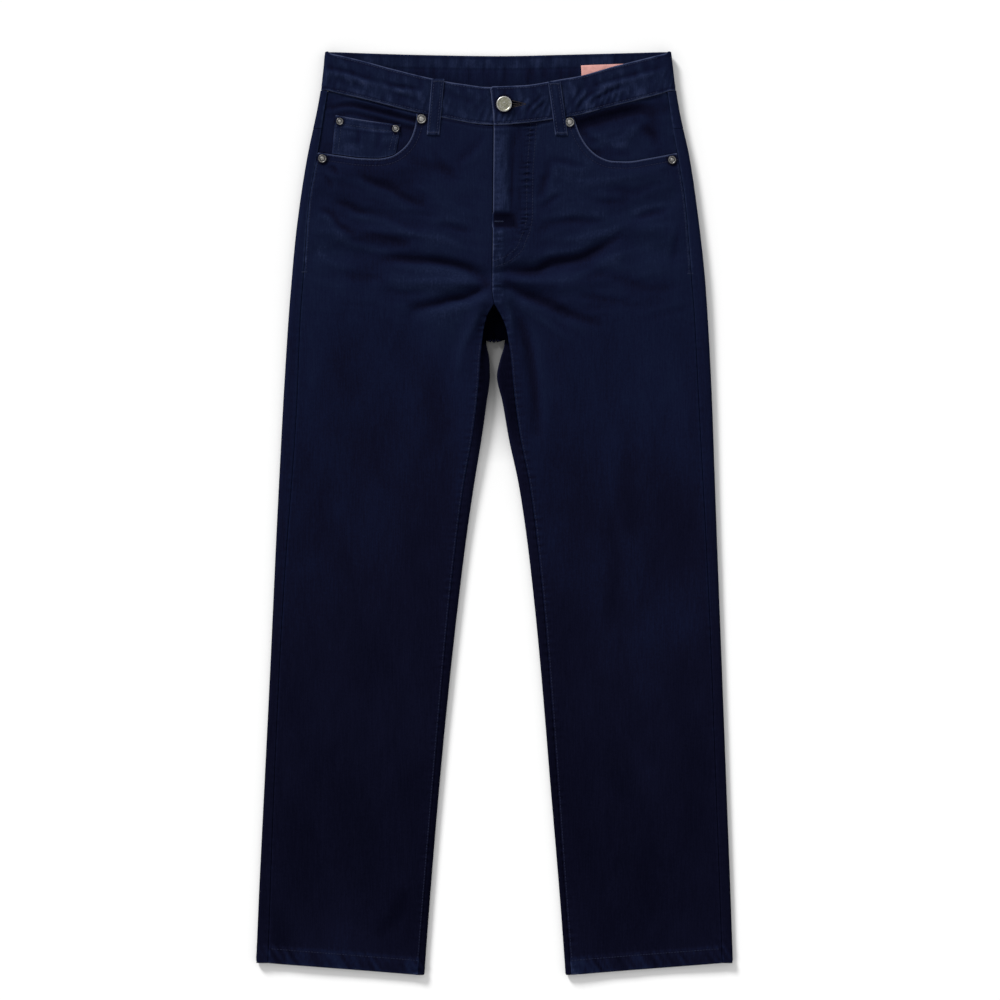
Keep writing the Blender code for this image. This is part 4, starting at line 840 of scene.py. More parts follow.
def thickness_at(reach):
    """The cloth's thickness, which is larger in the turned-up hem."""
    return CLOTH + (HEM_THICKNESS - CLOTH) * (1 - step_up(reach, HEM_DEPTH - 1, HEM_DEPTH + 1.5))


def hem_relief(side, x, y):
    """The turned-up hem: thicker than the leg, pulled in along its stitches and twisted between them."""
    reach = hem_reach(side, x, y)
    raised = 0.5 * (1 - step_up(reach, HEM_DEPTH - 1, HEM_DEPTH + 1.2))
    groove = -0.35 * bell(reach - HEM_DEPTH, -2.2, 1.4)
    window = step_up(reach, 0, 4) * (1 - step_up(reach, HEM_DEPTH - 3, HEM_DEPTH + 8))
    wave = ripple(x + 0.55 * reach, HEM_PUCKERS.pitch, HEM_PUCKERS.seed + SIGN[side])
    return raised + groove + HEM_PUCKERS.height * window * wave


def seam_relief(side, off, y, kind, shift):
    """Puckers beside a seam that runs down the leg; both of its panels have the same ones."""
    return puckers(kind, off, y, shift + 2 * SIGN[side])


def on_leg(y):
    """1 below the crotch, softly falling to 0 at it."""
    return step_up(CROTCH_Y - y, 0, 12)


def seam_distances(side, x, y):
    """Distance in X from the side seam and from the inner edge of the front panel."""
    return np.abs(x - seam_at(side, y)), np.abs(x - inner_x(side, y))


def front_relief(side, x, y):
    """What the front's outer side adds to the heights of the source."""
    off_side, off_inner = seam_distances(side, x, y)
    total = undulation(x, y) * step_up(off_side, 0, 18) * (0.35 + 0.65 * step_up(off_inner, 0, 14))
    total = total + crease_relief(FRONT_CREASES[side], x, y)
    total += seam_relief(side, off_side, y, SIDE_PUCKERS, 0)
    total += on_leg(y) * seam_relief(side, off_inner, y, INSEAM_PUCKERS, 0.5)
    near, off, run_at, _ = path_places(mouth_points(side), x, y, 16)
    band = bell(np.abs(off), 4.5, 3.2)
    total[near] += MOUTH_PUCKERS.height * band * ripple(run_at, MOUTH_PUCKERS.pitch, MOUTH_PUCKERS.seed)
    total[near] -= 0.22 * bell(np.abs(off), 1.9, 0.8) + 0.25 * bell(np.abs(off), 7.6, 1)
    total += hem_relief(side, x, y)
    if side == "left":
        total = fly_relief(x, y, total)
    return total


def fly_window(x, y, right, low, high):
    """1 on the strip beside the fly edge, from there to right and from low to high."""
    return step_up(x, -3, -1) * (1 - step_up(x, right - 2, right + 2)) * step_up(y, low - 1, low + 3) * (
        1 - step_up(y, high - 2, high + 1))


def fly_relief(x, y, total):
    """The raised strip over the zip, the hollow below it, its stitches' grooves and the puckers between them."""
    total = total.copy()
    near, off, run_at, length = path_places(bend(FLY_PATH, 60), x, y, 22)
    strength = step_up(length - run_at, 0, 14)
    total[near] += strength * puckers(FLY_PUCKERS, off + 7, run_at)
    total[near] -= strength * (0.35 * bell(off, 0, 1) + 0.3 * bell(off, -14, 1.2))
    strip = fly_window(x, y, FLY_STRIP_X, FLY_STRIP_Y, 421)
    total += 0.75 * strip + 0.5 * strip * bell(x, 4, 3.5) * ripple(y, 6.6, 1.1)
    total -= 1.3 * fly_window(x, y, 24, FLY_HOLLOW_Y, FLY_STRIP_Y)
    low = fly_window(x, y, *FLY_EDGE_STRIP)
    return total + low * (0.5 + 0.65 * ripple(y, 5.6, 0.3))


def mouth_points(side):
    return bend(SCOOP[side], 48)


def mouth_place(side, share):
    """The front panel's upper edge: along the waist seam and then the pocket mouth."""
    waist_x = np.linspace(float(inner_x(side, FLY_TOP_Y)), SCOOP[side][0].x, 30)
    mouth = bend(SCOOP[side], 120)
    reach = lengths(mouth)
    mouth_at = WAIST_SHARE + (1 - WAIST_SHARE) * reach[1:] / reach[-1]
    at = np.concatenate([np.linspace(0, WAIST_SHARE, 30), mouth_at])
    edge = np.concatenate([join(waist_x, curve_y(FRONT_BAND_BOTTOM, waist_x)), mouth[1:]])
    return places_at(share, at, edge)


def front_plan(side):
    table = [(r.inner_y, r.side_y, r.scoop_share) for r in FRONT_PANEL_TOP_ROWS]
    table += [(r.inner_y, r.side_y, 0) for r in FRONT_ROWS if r.inner_y <= CROTCH_Y]
    top = table[0][0]
    hem_top = HEM_INNER_Y + HEM_DEPTH
    depth = np.concatenate([
        stations([0, top - CROTCH_Y], 2.3, True, False)[:-1],
        stations([top - CROTCH_Y, top - 150], 2.6, False, False)[:-1],
        stations([top - 150, top - hem_top, top - HEM_INNER_Y], 3.1, False, True),
    ])
    inner_y = top - depth
    side_y = smooth([(t[0], t[1]) for t in table], inner_y)
    scoop = smooth([(t[0], t[2]) for t in table], inner_y)

    def ends(y_in, y_out):
        start = join(inner_x(side, y_in), y_in)
        return start, join(seam_at(side, y_out), y_out) - start

    start, run = ends(inner_y, side_y)
    first_start, first_run = ends(inner_y[:1], side_y[:1])
    width = np.linalg.norm(run, axis=-1, keepdims=True)
    near = np.array(EDGE_STEPS)
    middle = near[-1] + np.linspace(0, 1, 58)[1:-1] * (width - 2 * near[-1])
    low = np.broadcast_to(near, (len(width), len(near)))
    share = np.concatenate([low, middle, width - low[:, ::-1]], axis=1) / width
    line = start[:, None] + share[..., None] * run[:, None]
    first = first_start[:, None] + share[..., None] * first_run[:, None]
    return line + scoop[:, None, None] * (mouth_place(side, share) - first)


def region_tone(y):
    """The cloth is palest on the hips and thighs and darkest near the hems."""
    return np.interp(y, (-500, -430, -260, -60, 130, 300, 430), (0.42, 0.36, 0.39, 0.495, 0.565, 0.63, 0.62))


def front_skin(side):
    plan = front_plan(side)
    x, y = plan[..., 0], plan[..., 1]
    relief = front_relief(side, x, y)
    off_side, off_inner = seam_distances(side, x, y)
    off_mouth = off_line(mouth_points(side), x, y, 8)
    base = top_height(side, x, y)
    sink = rolled(off_side) + rolled(off_inner) + rolled(off_mouth, 0.6, 1.6)
    sink += rolled(hem_reach(side, x, y), 0.8, 2)
    waist_off = curve_y(FRONT_BAND_BOTTOM, x) - y
    sink += rolled(np.where(np.abs(x) < np.abs(SCOOP[side][0].x), waist_off, 99))
    smooth_base = join(x, y, base + 0.6 * relief)
    grid = join(x, y, base + relief - sink)
    # The tone follows the relief: paler on ridges, worn and partly a painted highlight, and darker in troughs as
    # painted shade; a ring of painted shade round each stud.
    tone = region_tone(y) + np.clip(0.12 * relief, -0.27, 0.11) - painted_stud_shade(x, y)
    # The pocket mouth's folded edge is paler, worn and partly a painted highlight; the dark lines beside it and
    # along the second row of stitches are painted shade in their grooves.
    tone += 0.6 * bell(off_mouth, 0, 1.5) - 0.1 * bell(off_mouth, 2.8, 0.9)
    tone -= 0.06 * bell(off_mouth, 7.6, 1.2)
    side_tone = 0.09 + 0.12 * step_up(y, *HIP_Y)
    tone += side_tone * (0.8 + 0.3 * ripple(y, 15, 0.5)) * bell(off_side, 0.9, 1.3)
    tone += 0.06 * on_leg(y) * ripple(y, 4.9, 1.1) * bell(off_inner, 4.5, 3)
    tone += 0.08 * bell(off_inner, 0, 1.6) * (y < CROTCH_Y)
    tone += hem_tone(hem_reach(side, x, y), x, off_inner)
    # Below the waist seam: a dark line of painted shadow under the band, then a paler line of painted highlight on
    # the panel's edge.
    tone += -0.14 * bell(waist_off, 2, 1) + 0.09 * bell(waist_off, 4.6, 1)
    if side == "left":
        # The fly's folded edge is paler: a painted highlight on the side that faces the lamp, partly worn.
        fly = 0.6 * step_up(y, 230, 240) + 0.4 * step_up(y, 266, 290)
        tone += 0.42 * fly * bell(off_inner, 0, 1.2)
        tone += fly_window(x, y, FLY_STRIP_X, FLY_STRIP_Y, 412) * (0.06 + 0.08 * unevenness(x, y, 4, 9, 18))
        # Painted shade in the hollow below the fly's raised strip.
        tone -= 0.15 * fly_window(x + 0.5 * (y - 318), y, 22, FLY_HOLLOW_Y, FLY_STRIP_Y)
        tone += fly_window(x, y, *FLY_EDGE_STRIP) * (0.06 + 0.09 * unevenness(x, y, 5, 3.6, 19))
        near, off, _, _ = path_places(bend(FLY_PATH, 60), x, y, 4)
        tone[near] += 0.12 * bell(off, 1.6, 1)
    return grid, smooth_base, tone


def hem_tone(reach, x, off_inner):
    """The worn, twisted look of the turned-up hem, palest beside the inseam."""
    band = 1 - step_up(reach, HEM_DEPTH - 2.5, HEM_DEPTH + 0.5)
    twist = 0.13 * unevenness(x + 0.7 * reach, reach, 5.2, 30, 14) + 0.05 * unevenness(x, reach, 2.6, 6, 20)
    corner = 0.16 * (1 - step_up(np.abs(off_inner - 7), 6, 10))
    edge = 0.16 * bell(reach, 0.8, 1.2) + 0.12 * bell(reach - HEM_DEPTH, 0.6, 1)
    return band * (0.03 + twist + corner) + edge


def painted_stud_shade(x, y):
    """Painted shade: how much darker the cloth is painted in a narrow ring round each rivet and the button."""
    total = np.zeros(x.shape)
    for stud in [*RIVETS, *COIN_RIVETS, BUTTON]:
        off = np.hypot(x - stud.x, y - stud.y) - stud.diameter / 2
        total = np.maximum(total, 0.34 * bell(off, 0.6, 1.5))
    return total


def back_skin(side, coarse, crotch_row):
    """A fine skin through part of the coarse back grid, with its seams moved on to the front's edges."""
    rows = chords(coarse, 0)
    row_at = stations(list(rows), BACK_ROW_PITCH)
    grid = refine(coarse, row_at, stations(list(chords(coarse, 1)), BACK_COLUMN_PITCH))
    off_side = chords(grid, 1)
    off_inner = off_side[-1] - off_side
    for column, table, off in ((0, SIDE_SEAM, off_side), (-1, INSEAM, off_inner)):
        y = grid[:, column, 1]
        x = edge_x(table, side, y)
        shift = join(x, y, top_height(side, x, y)) - grid[:, column]
        if column == -1:
            shift[row_at < rows[crotch_row] - 0.01] = 0
        grid = grid + shift[:, None] * (1 - step_up(off, 0, 9))[None, :, None]
    if crotch_row > YOKE_ROWS:
        # The fold under the crotch runs straight across
        first, last = (np.searchsorted(row_at, rows[crotch_row + k] - 0.01) for k in (-CENTRE_FOLD_ROWS, 1))
        fold_y = FOLD_ROWS[0].fold_y
        for k in range(first, last):
            line = grid[k, :, 1]
            tail = line[len(line) // 2 :]
            line += (fold_y - tail.min()) * bell(line - tail.min(), 0, 7) * (np.abs(grid[k, :, 0]) < 30)
        x, y = grid[..., 0], grid[..., 1]
        y -= 2.8 * bell(x, CENTRE_BACK_X, 3.2) * bell(y - fold_y, 1, 3.5)
    return grid, off_side, off_inner


def back_piece(side, coarse, crotch_row):
    """Outer skin, inner skin and tone of a back panel or yoke."""
    grid, off_side, off_inner = back_skin(side, coarse, crotch_row)
    normals = grid_normals(grid, SIGN[side])
    x, y = grid[..., 0], grid[..., 1]
    faces_up = step_up(normals[..., 2], -0.7, 0)
    leg = (np.arange(len(grid)) >= np.argmin(np.abs(grid[:, -1, 1] - CROTCH_Y)))[:, None] * (y < CROTCH_Y)
    seams = leg * on_leg(y) * seam_relief(side, off_inner[None, :], y, INSEAM_PUCKERS, 0.5)
    seams = seam_relief(side, off_side[None, :], y, SIDE_PUCKERS, 0) + seams
    reach = hem_reach(side, x, y)
    relief = faces_up * seams + step_up(normals[..., 2], 0.3, 0.95) * hem_relief(side, x, y)
    off_hem = reach - HEM_DEPTH + 2.2
    lifted = crease_relief(BACK_CREASES, np.abs(x), y + 9 * (side == "left")) + 0.3 * bell(off_hem, 0, 1.4)
    relief -= (1 - faces_up) * lifted
    sink = rolled(off_side)[None, :] + rolled(reach, 0.8, 2) + (rolled(off_inner)[None, :] * leg)
    sink = sink + rolled(chords(grid, 0), 0.3)[:, None]
    outer = grid + normals * (relief - sink)[..., None]
    inner = grid + normals * (0.6 * relief - thickness_at(reach))[..., None]
    # The tone follows the relief: paler on ridges, worn and partly a painted highlight, and darker in troughs as
    # painted shade.
    tone = region_tone(y) + np.clip(0.13 * relief, -0.2, 0.2)
    tone = tone + (0.05 + 0.11 * step_up(y, *HIP_Y)) * bell(off_side, 0.8, 1.6)[None, :]
    tone = tone + 0.12 * bell(reach, 0.8, 1.2)
    # Painted shade along the back's inner leg edges, deepest towards the crotch.
    strip = leg * (1 - step_up(off_inner, 10, 16))[None, :]
    tone = tone - strip * (0.1 + 0.24 * step_up(y, 60, 110))
    # Painted shadow in the pit under the crotch, on the low back cloth there.
    hollow = (1 - step_up(grid[..., 2], 8, 15)) * step_up(y, 182, 190) * (np.abs(x) < 16)
    tone = tone - 0.7 * hollow * faces_up
    return outer, inner, tone, normals


def node_maker(name):
    """A new material: its object coordinates, a helper that adds nodes, one for colours and one that finishes it.
    Where a value is a socket it is linked, and any other value is set."""
    made = bpy.data.materials.new(name)
    made.use_nodes = True
    tree = made.node_tree

    def put(inputs, key, value):
        if isinstance(value, bpy.types.NodeSocket):
            tree.links.new(value, inputs[key])
        else:
            inputs[key].default_value = value

    def add(kind, *ordered, **named):
        node = tree.nodes.new(f"ShaderNode{kind}")
        for k, value in enumerate(ordered):
            put(node.inputs, k, value)
        for key, value in named.items():
            if key in node.inputs:
                put(node.inputs, key, value)
            else:
                setattr(node, key, value)
        return node.outputs

    def ramp(value, shades):
        node = tree.nodes.new("ShaderNodeValToRGB")
        stops = node.color_ramp.elements
        for stop, shade in ((stops[0], shades[0]), (stops[1], shades[-1])):
            stop.position, stop.color = shade.at, (*shade[1:], 1)
        for shade in shades[1:-1]:
            stops.new(shade.at).color = (*shade[1:], 1)
        put(node.inputs, "Fac", value)
        return node.outputs["Color"]

    def finish(colour, roughness, specular, height=None, strength=0, distance=0, metallic=0):
        looks = {"Base Color": colour, "Roughness": roughness, "Specular IOR Level": specular}
        looks["Metallic"] = metallic
        if height is not None:
            looks["Normal"] = add("Bump", Strength=strength, Distance=distance, Height=height)["Normal"]
        for key, value in looks.items():
            put(tree.nodes["Principled BSDF"].inputs, key, value)
        return made

    return add("TexCoord")["Object"], add, ramp, finish


# Stops of the denim's colours, from the painted shade of the deepest folds to worn edges and painted highlights,
# as linear red, green and blue
Shade = namedtuple("Shade", "at red green blue")
DENIM_SHADES = rows_of(Shade,
    (0, 0.0004, 0.0005, 0.0018), (0.33, 0.0025, 0.0027, 0.0084), (0.47, 0.0036, 0.004, 0.0124),
    (0.6, 0.0044, 0.0061, 0.02), (0.72, 0.0055, 0.0085, 0.0245), (0.86, 0.0115, 0.0165, 0.0435),
    (1, 0.034, 0.042, 0.082))
LABEL_SHADES = [Shade(0.3, 0.5, 0.245, 0.22), Shade(0.7, 0.66, 0.33, 0.3)]
THREAD_SHADES = [Shade(0.2, 0.0110, 0.0150, 0.0360), Shade(0.8, 0.0270, 0.0330, 0.0640)]
LEG_THREAD_SHADES = [Shade(0.2, 0.0080, 0.0100, 0.0250), Shade(0.8, 0.0210, 0.0250, 0.0500)]


def denim_material():
    """Dark warp over a paler weft: streaks along the leg, specks, a diagonal twill and the mesh's tone, which
    holds wear, painted shade and painted highlights.
    """
    place, add, ramp, finish = node_maker("denim_twill")

    def noise(stretch, scale, detail):
        moved = add("Mapping", Vector=place, Scale=stretch)["Vector"]
        return add("TexNoise", Vector=moved, Scale=scale, Detail=detail, Roughness=0.6)["Fac"]

    def weigh(value, amount, total):
        """total plus the value's distance from one half, times amount."""
        part = add("Math", value, amount, -0.5 * amount, operation="MULTIPLY_ADD")["Value"]
        return add("Math", part, total, operation="ADD")["Value"]

    speck = noise((1, 0.6, 1), 620, 2)
    total = add("Attribute", attribute_name="tone")["Fac"]
    total = weigh(noise((1, 0.05, 1), 900, 2), 0.23, total)
    total = weigh(speck, 0.21, total)
    total = weigh(noise((1, 0.55, 1), 22, 3), 0.16, total)
    leaning = add("Mapping", Vector=place, Rotation=(0, 0, math.radians(58)))["Vector"]
    twill = add("TexWave", Vector=leaning, Scale=330, Distortion=1.2, Detail=1)["Fac"]
    return finish(ramp(total, DENIM_SHADES), 0.95, 0, weigh(twill, 0.7, speck), 0.5, 0.00025)


def thread_material(name, shades):
    place, add, ramp, finish = node_maker(name)
    return finish(ramp(add("TexNoise", Vector=place, Scale=420, Detail=2)["Fac"], shades), 0.8, 0)


def metal_material(name, shades):
    """Brushed metal with fine pits, darker tarnish in patches and, from the mesh, its tarnish, the painted shade
    on its rims and sunk rings and the button's paler rim.
    """
    place, add, ramp, finish = node_maker(name)
    patches = add("TexNoise", Vector=place, Scale=700, Detail=4)["Fac"]
    dark = add("Attribute", attribute_name="dark")["Fac"]
    light = add("Math", patches, dark, operation="SUBTRACT")["Value"]
    return finish(ramp(light, shades), 0.38, 0.5, patches, 0.25, 0.0001, 1)


def label_material():
    """Plain woven tape: fine cross ribs, slightly uneven in colour."""
    place, add, ramp, finish = node_maker("label_tape")
    ribs = add("TexWave", Vector=place, Scale=420, Distortion=0.6, bands_direction="Y")["Fac"]
    cloud = add("TexNoise", Vector=place, Scale=160, Detail=3)["Fac"]
    return finish(ramp(cloud, LABEL_SHADES), 0.8, 0.2, ribs, 0.4, 0.0002)


DENIM = denim_material()
THREAD = thread_material("denim_thread", THREAD_SHADES)
LEG_THREAD = thread_material("leg_thread", LEG_THREAD_SHADES)
HOLE_THREAD_SHADES = rows_of(Shade, (0.2, 0.014, 0.013, 0.016), (0.8, 0.042, 0.035, 0.033))
HOLE_THREAD = thread_material("buttonhole_thread", HOLE_THREAD_SHADES)
DEEP_METAL = (0, 0.03, 0.03, 0.035)
METAL_SHADES = rows_of(Shade, DEEP_METAL, (0.34, 0.2, 0.195, 0.185), (0.7, 0.46, 0.45, 0.435))
METAL = metal_material("pewter", METAL_SHADES)
BUTTON_SHADES = rows_of(Shade,
    DEEP_METAL, (0.34, 0.2, 0.197, 0.155), (0.52, 0.275, 0.27, 0.2), (0.74, 0.45, 0.45, 0.46))
BUTTON_METAL = metal_material("button_metal", BUTTON_SHADES)
LABEL = label_material()
PIECES = {}
SKINS = []


def show(name, data):
    """A new object in the scene."""
    obj = bpy.data.objects.new(name, data)
    bpy.context.scene.collection.objects.link(obj)
    return obj


def new_mesh(name, points, faces):
    """A mesh from points in millimetres."""
    mesh = bpy.data.meshes.new(name)
    mesh.from_pydata((np.array(points) * MM).tolist(), [], faces)
    return mesh


def add_piece(name, mesh, material, slot, replaced=()):
    mesh.materials.append(material)
    mesh.shade_smooth()
    mesh.set_sharp_from_angle(angle=math.radians(48))
    obj = show(f"{name}_{'metal' if slot == 'hardware' else 'cloth'}" if replaced else name, mesh)
    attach(obj, "root")
    if replaced:
        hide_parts(*replaced)
    PIECES[name] = obj


def shell(name, outer, inner, tone, normals, material=DENIM, slot="denim"):
    """A closed wall of cloth between two grids, with the tone of each point kept for the material."""
    rows, columns = outer.shape[:2]
    count = rows * columns
    index = np.arange(count).reshape(rows, columns)
    quads = join(index[:-1, :-1], index[:-1, 1:], index[1:, 1:], index[1:, :-1]).reshape(-1, 4)
    rim = np.concatenate([index[0], index[1:, -1], index[-1, -2::-1], index[-2:0:-1, 0]])
    ahead = np.roll(rim, -1)
    walls = join(ahead, rim, rim + count, ahead + count)
    faces = np.concatenate([quads, quads[:, ::-1] + count, walls])
    flat = outer.reshape(-1, 3)
    turn = np.cross(flat[quads[:, 1]] - flat[quads[:, 0]], flat[quads[:, 3]] - flat[quads[:, 0]])
    if np.sum(turn * normals.reshape(-1, 3)[quads[:, 0]]) < 0:
        faces = faces[:, ::-1]
    mesh = new_mesh(name, np.concatenate([flat, inner.reshape(-1, 3)]), faces.tolist())
    layer = mesh.attributes.new("tone", "FLOAT", "POINT")
    layer.data.foreach_set("value", np.tile(tone.ravel(), 2).astype(np.float32))
    SKINS.append((flat * MM, quads))
    add_piece(name, mesh, material, slot, [name])


def make_panels(side):
    facing = SIGN[side]
    half = SEAM_GAP / 2 + 0.03
    grid, smooth_base, tone = front_skin(side)
    normals = grid_normals(smooth_base, facing)
    outer = pull_in(grid, normals, SEAM_GAP, 0, half, half)
    reach = hem_reach(side, grid[..., 0], grid[..., 1])
    inner = pull_in(smooth_base, normals, SEAM_GAP, 0, half, half) - normals * thickness_at(reach)[..., None]
    shell(f"front_panel_{side}", outer, inner, tone, normals)
    coarse = back_grid(side)
    rise = YOKE_RISE[side]
    coarse[0, : len(rise), 1] += rise
    coarse[0, len(rise) :, 1] += YOKE_FLAT_RISE
    crotch = len(BACK_FLAT_ROWS) + CENTRE_FOLD_ROWS
    for name, part, crotch_row in (
        (f"back_yoke_{side}", coarse[: YOKE_ROWS + 1], YOKE_ROWS),
        (f"back_panel_{side}", coarse[YOKE_ROWS:], crotch - YOKE_ROWS),
    ):
        outer, inner, tone, normals = back_piece(side, part, crotch_row)
        low = half if crotch_row == YOKE_ROWS else 0
        outer = pull_in(outer, normals, half, low, half, half)
        inner = pull_in(inner, normals, half, low, half, half)
        shell(name, outer, inner, tone, normals)


def patch(name, plan, height, tone, edges=(0.5, 0.5, 0.5, 0.5), thickness=CLOTH, up=1, **how):
    """A small closed piece of cloth over a grid in plan, with edges rolled down by these depths.
    The edges are the first and last row and the first and last column; up is -1 for a piece seen from below."""
    across = chords(np.dstack([plan, height]), 1)
    down = chords(np.dstack([plan, height]), 0)
    sink = rolled(down, edges[0])[:, None] + rolled(down[-1] - down, edges[1])[:, None]
    sink = sink + rolled(across, edges[2])[None, :] + rolled(across[-1] - across, edges[3])[None, :]
    outer = np.dstack([plan, height - up * sink])
    inner = np.dstack([plan, height - up * thickness])
    normals = np.broadcast_to(np.array([0, 0, up]), outer.shape)
    from_rows, from_columns = (np.minimum(run, run[-1] - run) for run in (down, across))
    edge = np.minimum(from_rows[:, None], from_columns[None, :])
    # Its edges are paler, worn and partly a painted highlight.
    tone = tone + 0.12 * bell(edge, 0, 0.9)
    shell(name, outer, inner, tone, normals, **how)


def between(upper, lower, rows):
    """Rows of points between an upper and a lower line of points."""
    return upper[None] + rows[:, None, None] * (lower - upper)[None]


def facing_relief(side, x, y):
    """Relief and tone of the pocket facings and the coin pocket: creases, and the ridges and hollows that run
    along under the waistband, with painted highlight on the ridges and painted shade in the hollows."""
    outward = step_up(np.abs(x), 140, 186)
    under = curve_y(FRONT_BAND_BOTTOM, x) - y - 10 * outward**2
    total = crease_relief(FACING_CREASES, x, y) + 0.7 * undulation(x, y)
    # Paler on ridges and darker in creases: painted highlight and painted shade.
    tone = np.clip(0.17 * total, -0.24, 0.15) + 0.07 * unevenness(x, y, 14, 8, 17)
    for at, width, rise, shade in FACING_ROWS[side]:
        wave = bell(under, at, width) * (1 - 0.75 * outward)
        total = total + rise * wave
        tone = tone + shade * wave
    return np.minimum(total, 1.1), tone


def make_pocket_facing(side):
    sign = SIGN[side]
    columns, hidden = 84, 7
    mouth = bend(SCOOP[side], columns - 1)
    lower = beside(mouth, -sign * hidden)
    lower[-1] = (seam_at(side, lower[-1, 1]), lower[-1, 1])
    end_x = float(seam_at(side, 459))
    top_x = np.linspace(SCOOP[side][0].x - sign * hidden, end_x, columns)
    upper = join(top_x, curve_y(FRONT_BAND_BOTTOM, top_x) - SEAM_GAP)
    plan = between(upper, lower, np.linspace(0, 1, 44))
    plan[:, -1, 0] -= sign * SEAM_GAP
    x, y = plan[..., 0], plan[..., 1]
    near, off, _, _ = path_places(mouth_points(side), x, y, 14)
    under = np.zeros(x.shape)
    under[near] = step_up(-off * sign if side == "left" else off, -1, 3)
    relief, tone = facing_relief(side, x, y)
    height = top_height(side, x, y) - FACING_DROP + relief - 0.9 * under
    patch(f"pocket_facing_{side}", plan, height, 0.61 + tone - painted_stud_shade(x, y), (0, 0, 0, 0.3))


def make_coin_pocket():
    top_left, top_right = COIN_POCKET["top"]
    low_left, low_right = COIN_POCKET["bottom"]
    shares = np.linspace(0, 1, 44)[:, None]
    upper = np.array(top_left) + shares * (np.array(top_right) - np.array(top_left))
    upper[:, 1] -= 0.9 * np.sin(math.pi * shares[:, 0])
    lower = np.array(low_left) + shares * (np.array(low_right) - np.array(low_left))
    lower[:, 1] = smooth([(p.x, p.y) for p in SCOOP["right"] if p.y < 420], lower[:, 0]) + 1
    plan = between(upper, lower, np.linspace(0, 1, 26))
    x, y = plan[..., 0], plan[..., 1]
    relief, shade = facing_relief("right", x, y)
    down = chords(np.dstack([plan, relief]), 0)[:, None]
    groove = 0.25 * bell(down, 2, 0.8) + 0.25 * bell(down, 9, 0.9)
    seam = 0.18 * bell(down, 5.5, 3) * ripple(x, 6.5, 2)
    tone = 0.76 + shade - painted_stud_shade(x, y) + 0.07 * unevenness(x, y, 11, 7, 22)
    # The top's folded edge and a fold lower down are paler, worn and partly a painted highlight, each with a line
    # of painted shade just below it.
    tone = tone + 0.24 * bell(down, 0, 1.1) - 0.14 * bell(down, 2.6, 1)
    tone += 0.14 * bell(down, 9.9, 1.2) - 0.1 * bell(down, 12.6, 1.4)
    patch("coin_pocket", plan, top_height("right", x, y) + relief - groove + seam, tone, (0.6, 0, 0.5, 0.5))


def band_relief(x, y, down, height):
    """Stitch grooves near both edges of the band, short ripples in its lower half, and its creases."""
    groove = 0.3 * bell(down, 2.6, 0.8) + 0.32 * bell(height - down, 2.8, 0.8)
    window = step_up(down, 0.35 * height, 0.75 * height) * (1 - step_up(down, height - 4, height))
    window = window * (0.3 + 0.7 * step_up(unevenness(x, y, 30, 60, 15), -0.3, 0.4))
    window = window * (0.4 + 0.6 * step_up(x, -90, -50))
    lower = BAND_RIPPLES.height * window * ripple(x + 0.35 * down, BAND_RIPPLES.pitch, BAND_RIPPLES.seed)
    upper = 0.4 * BAND_RIPPLES.height * (1 - window) * ripple(x - 0.2 * down, 1.6 * BAND_RIPPLES.pitch, 1)
    mottled = 0.5 * unevenness(x + 0.5 * y, y, 8, 13, 9) + 0.3 * unevenness(x - 0.3 * y, y, 4.5, 9, 10)
    return crease_relief(BAND_CREASES, x, y) + lower + upper + 0.6 * undulation(x, 1.4 * y) + mottled - groove


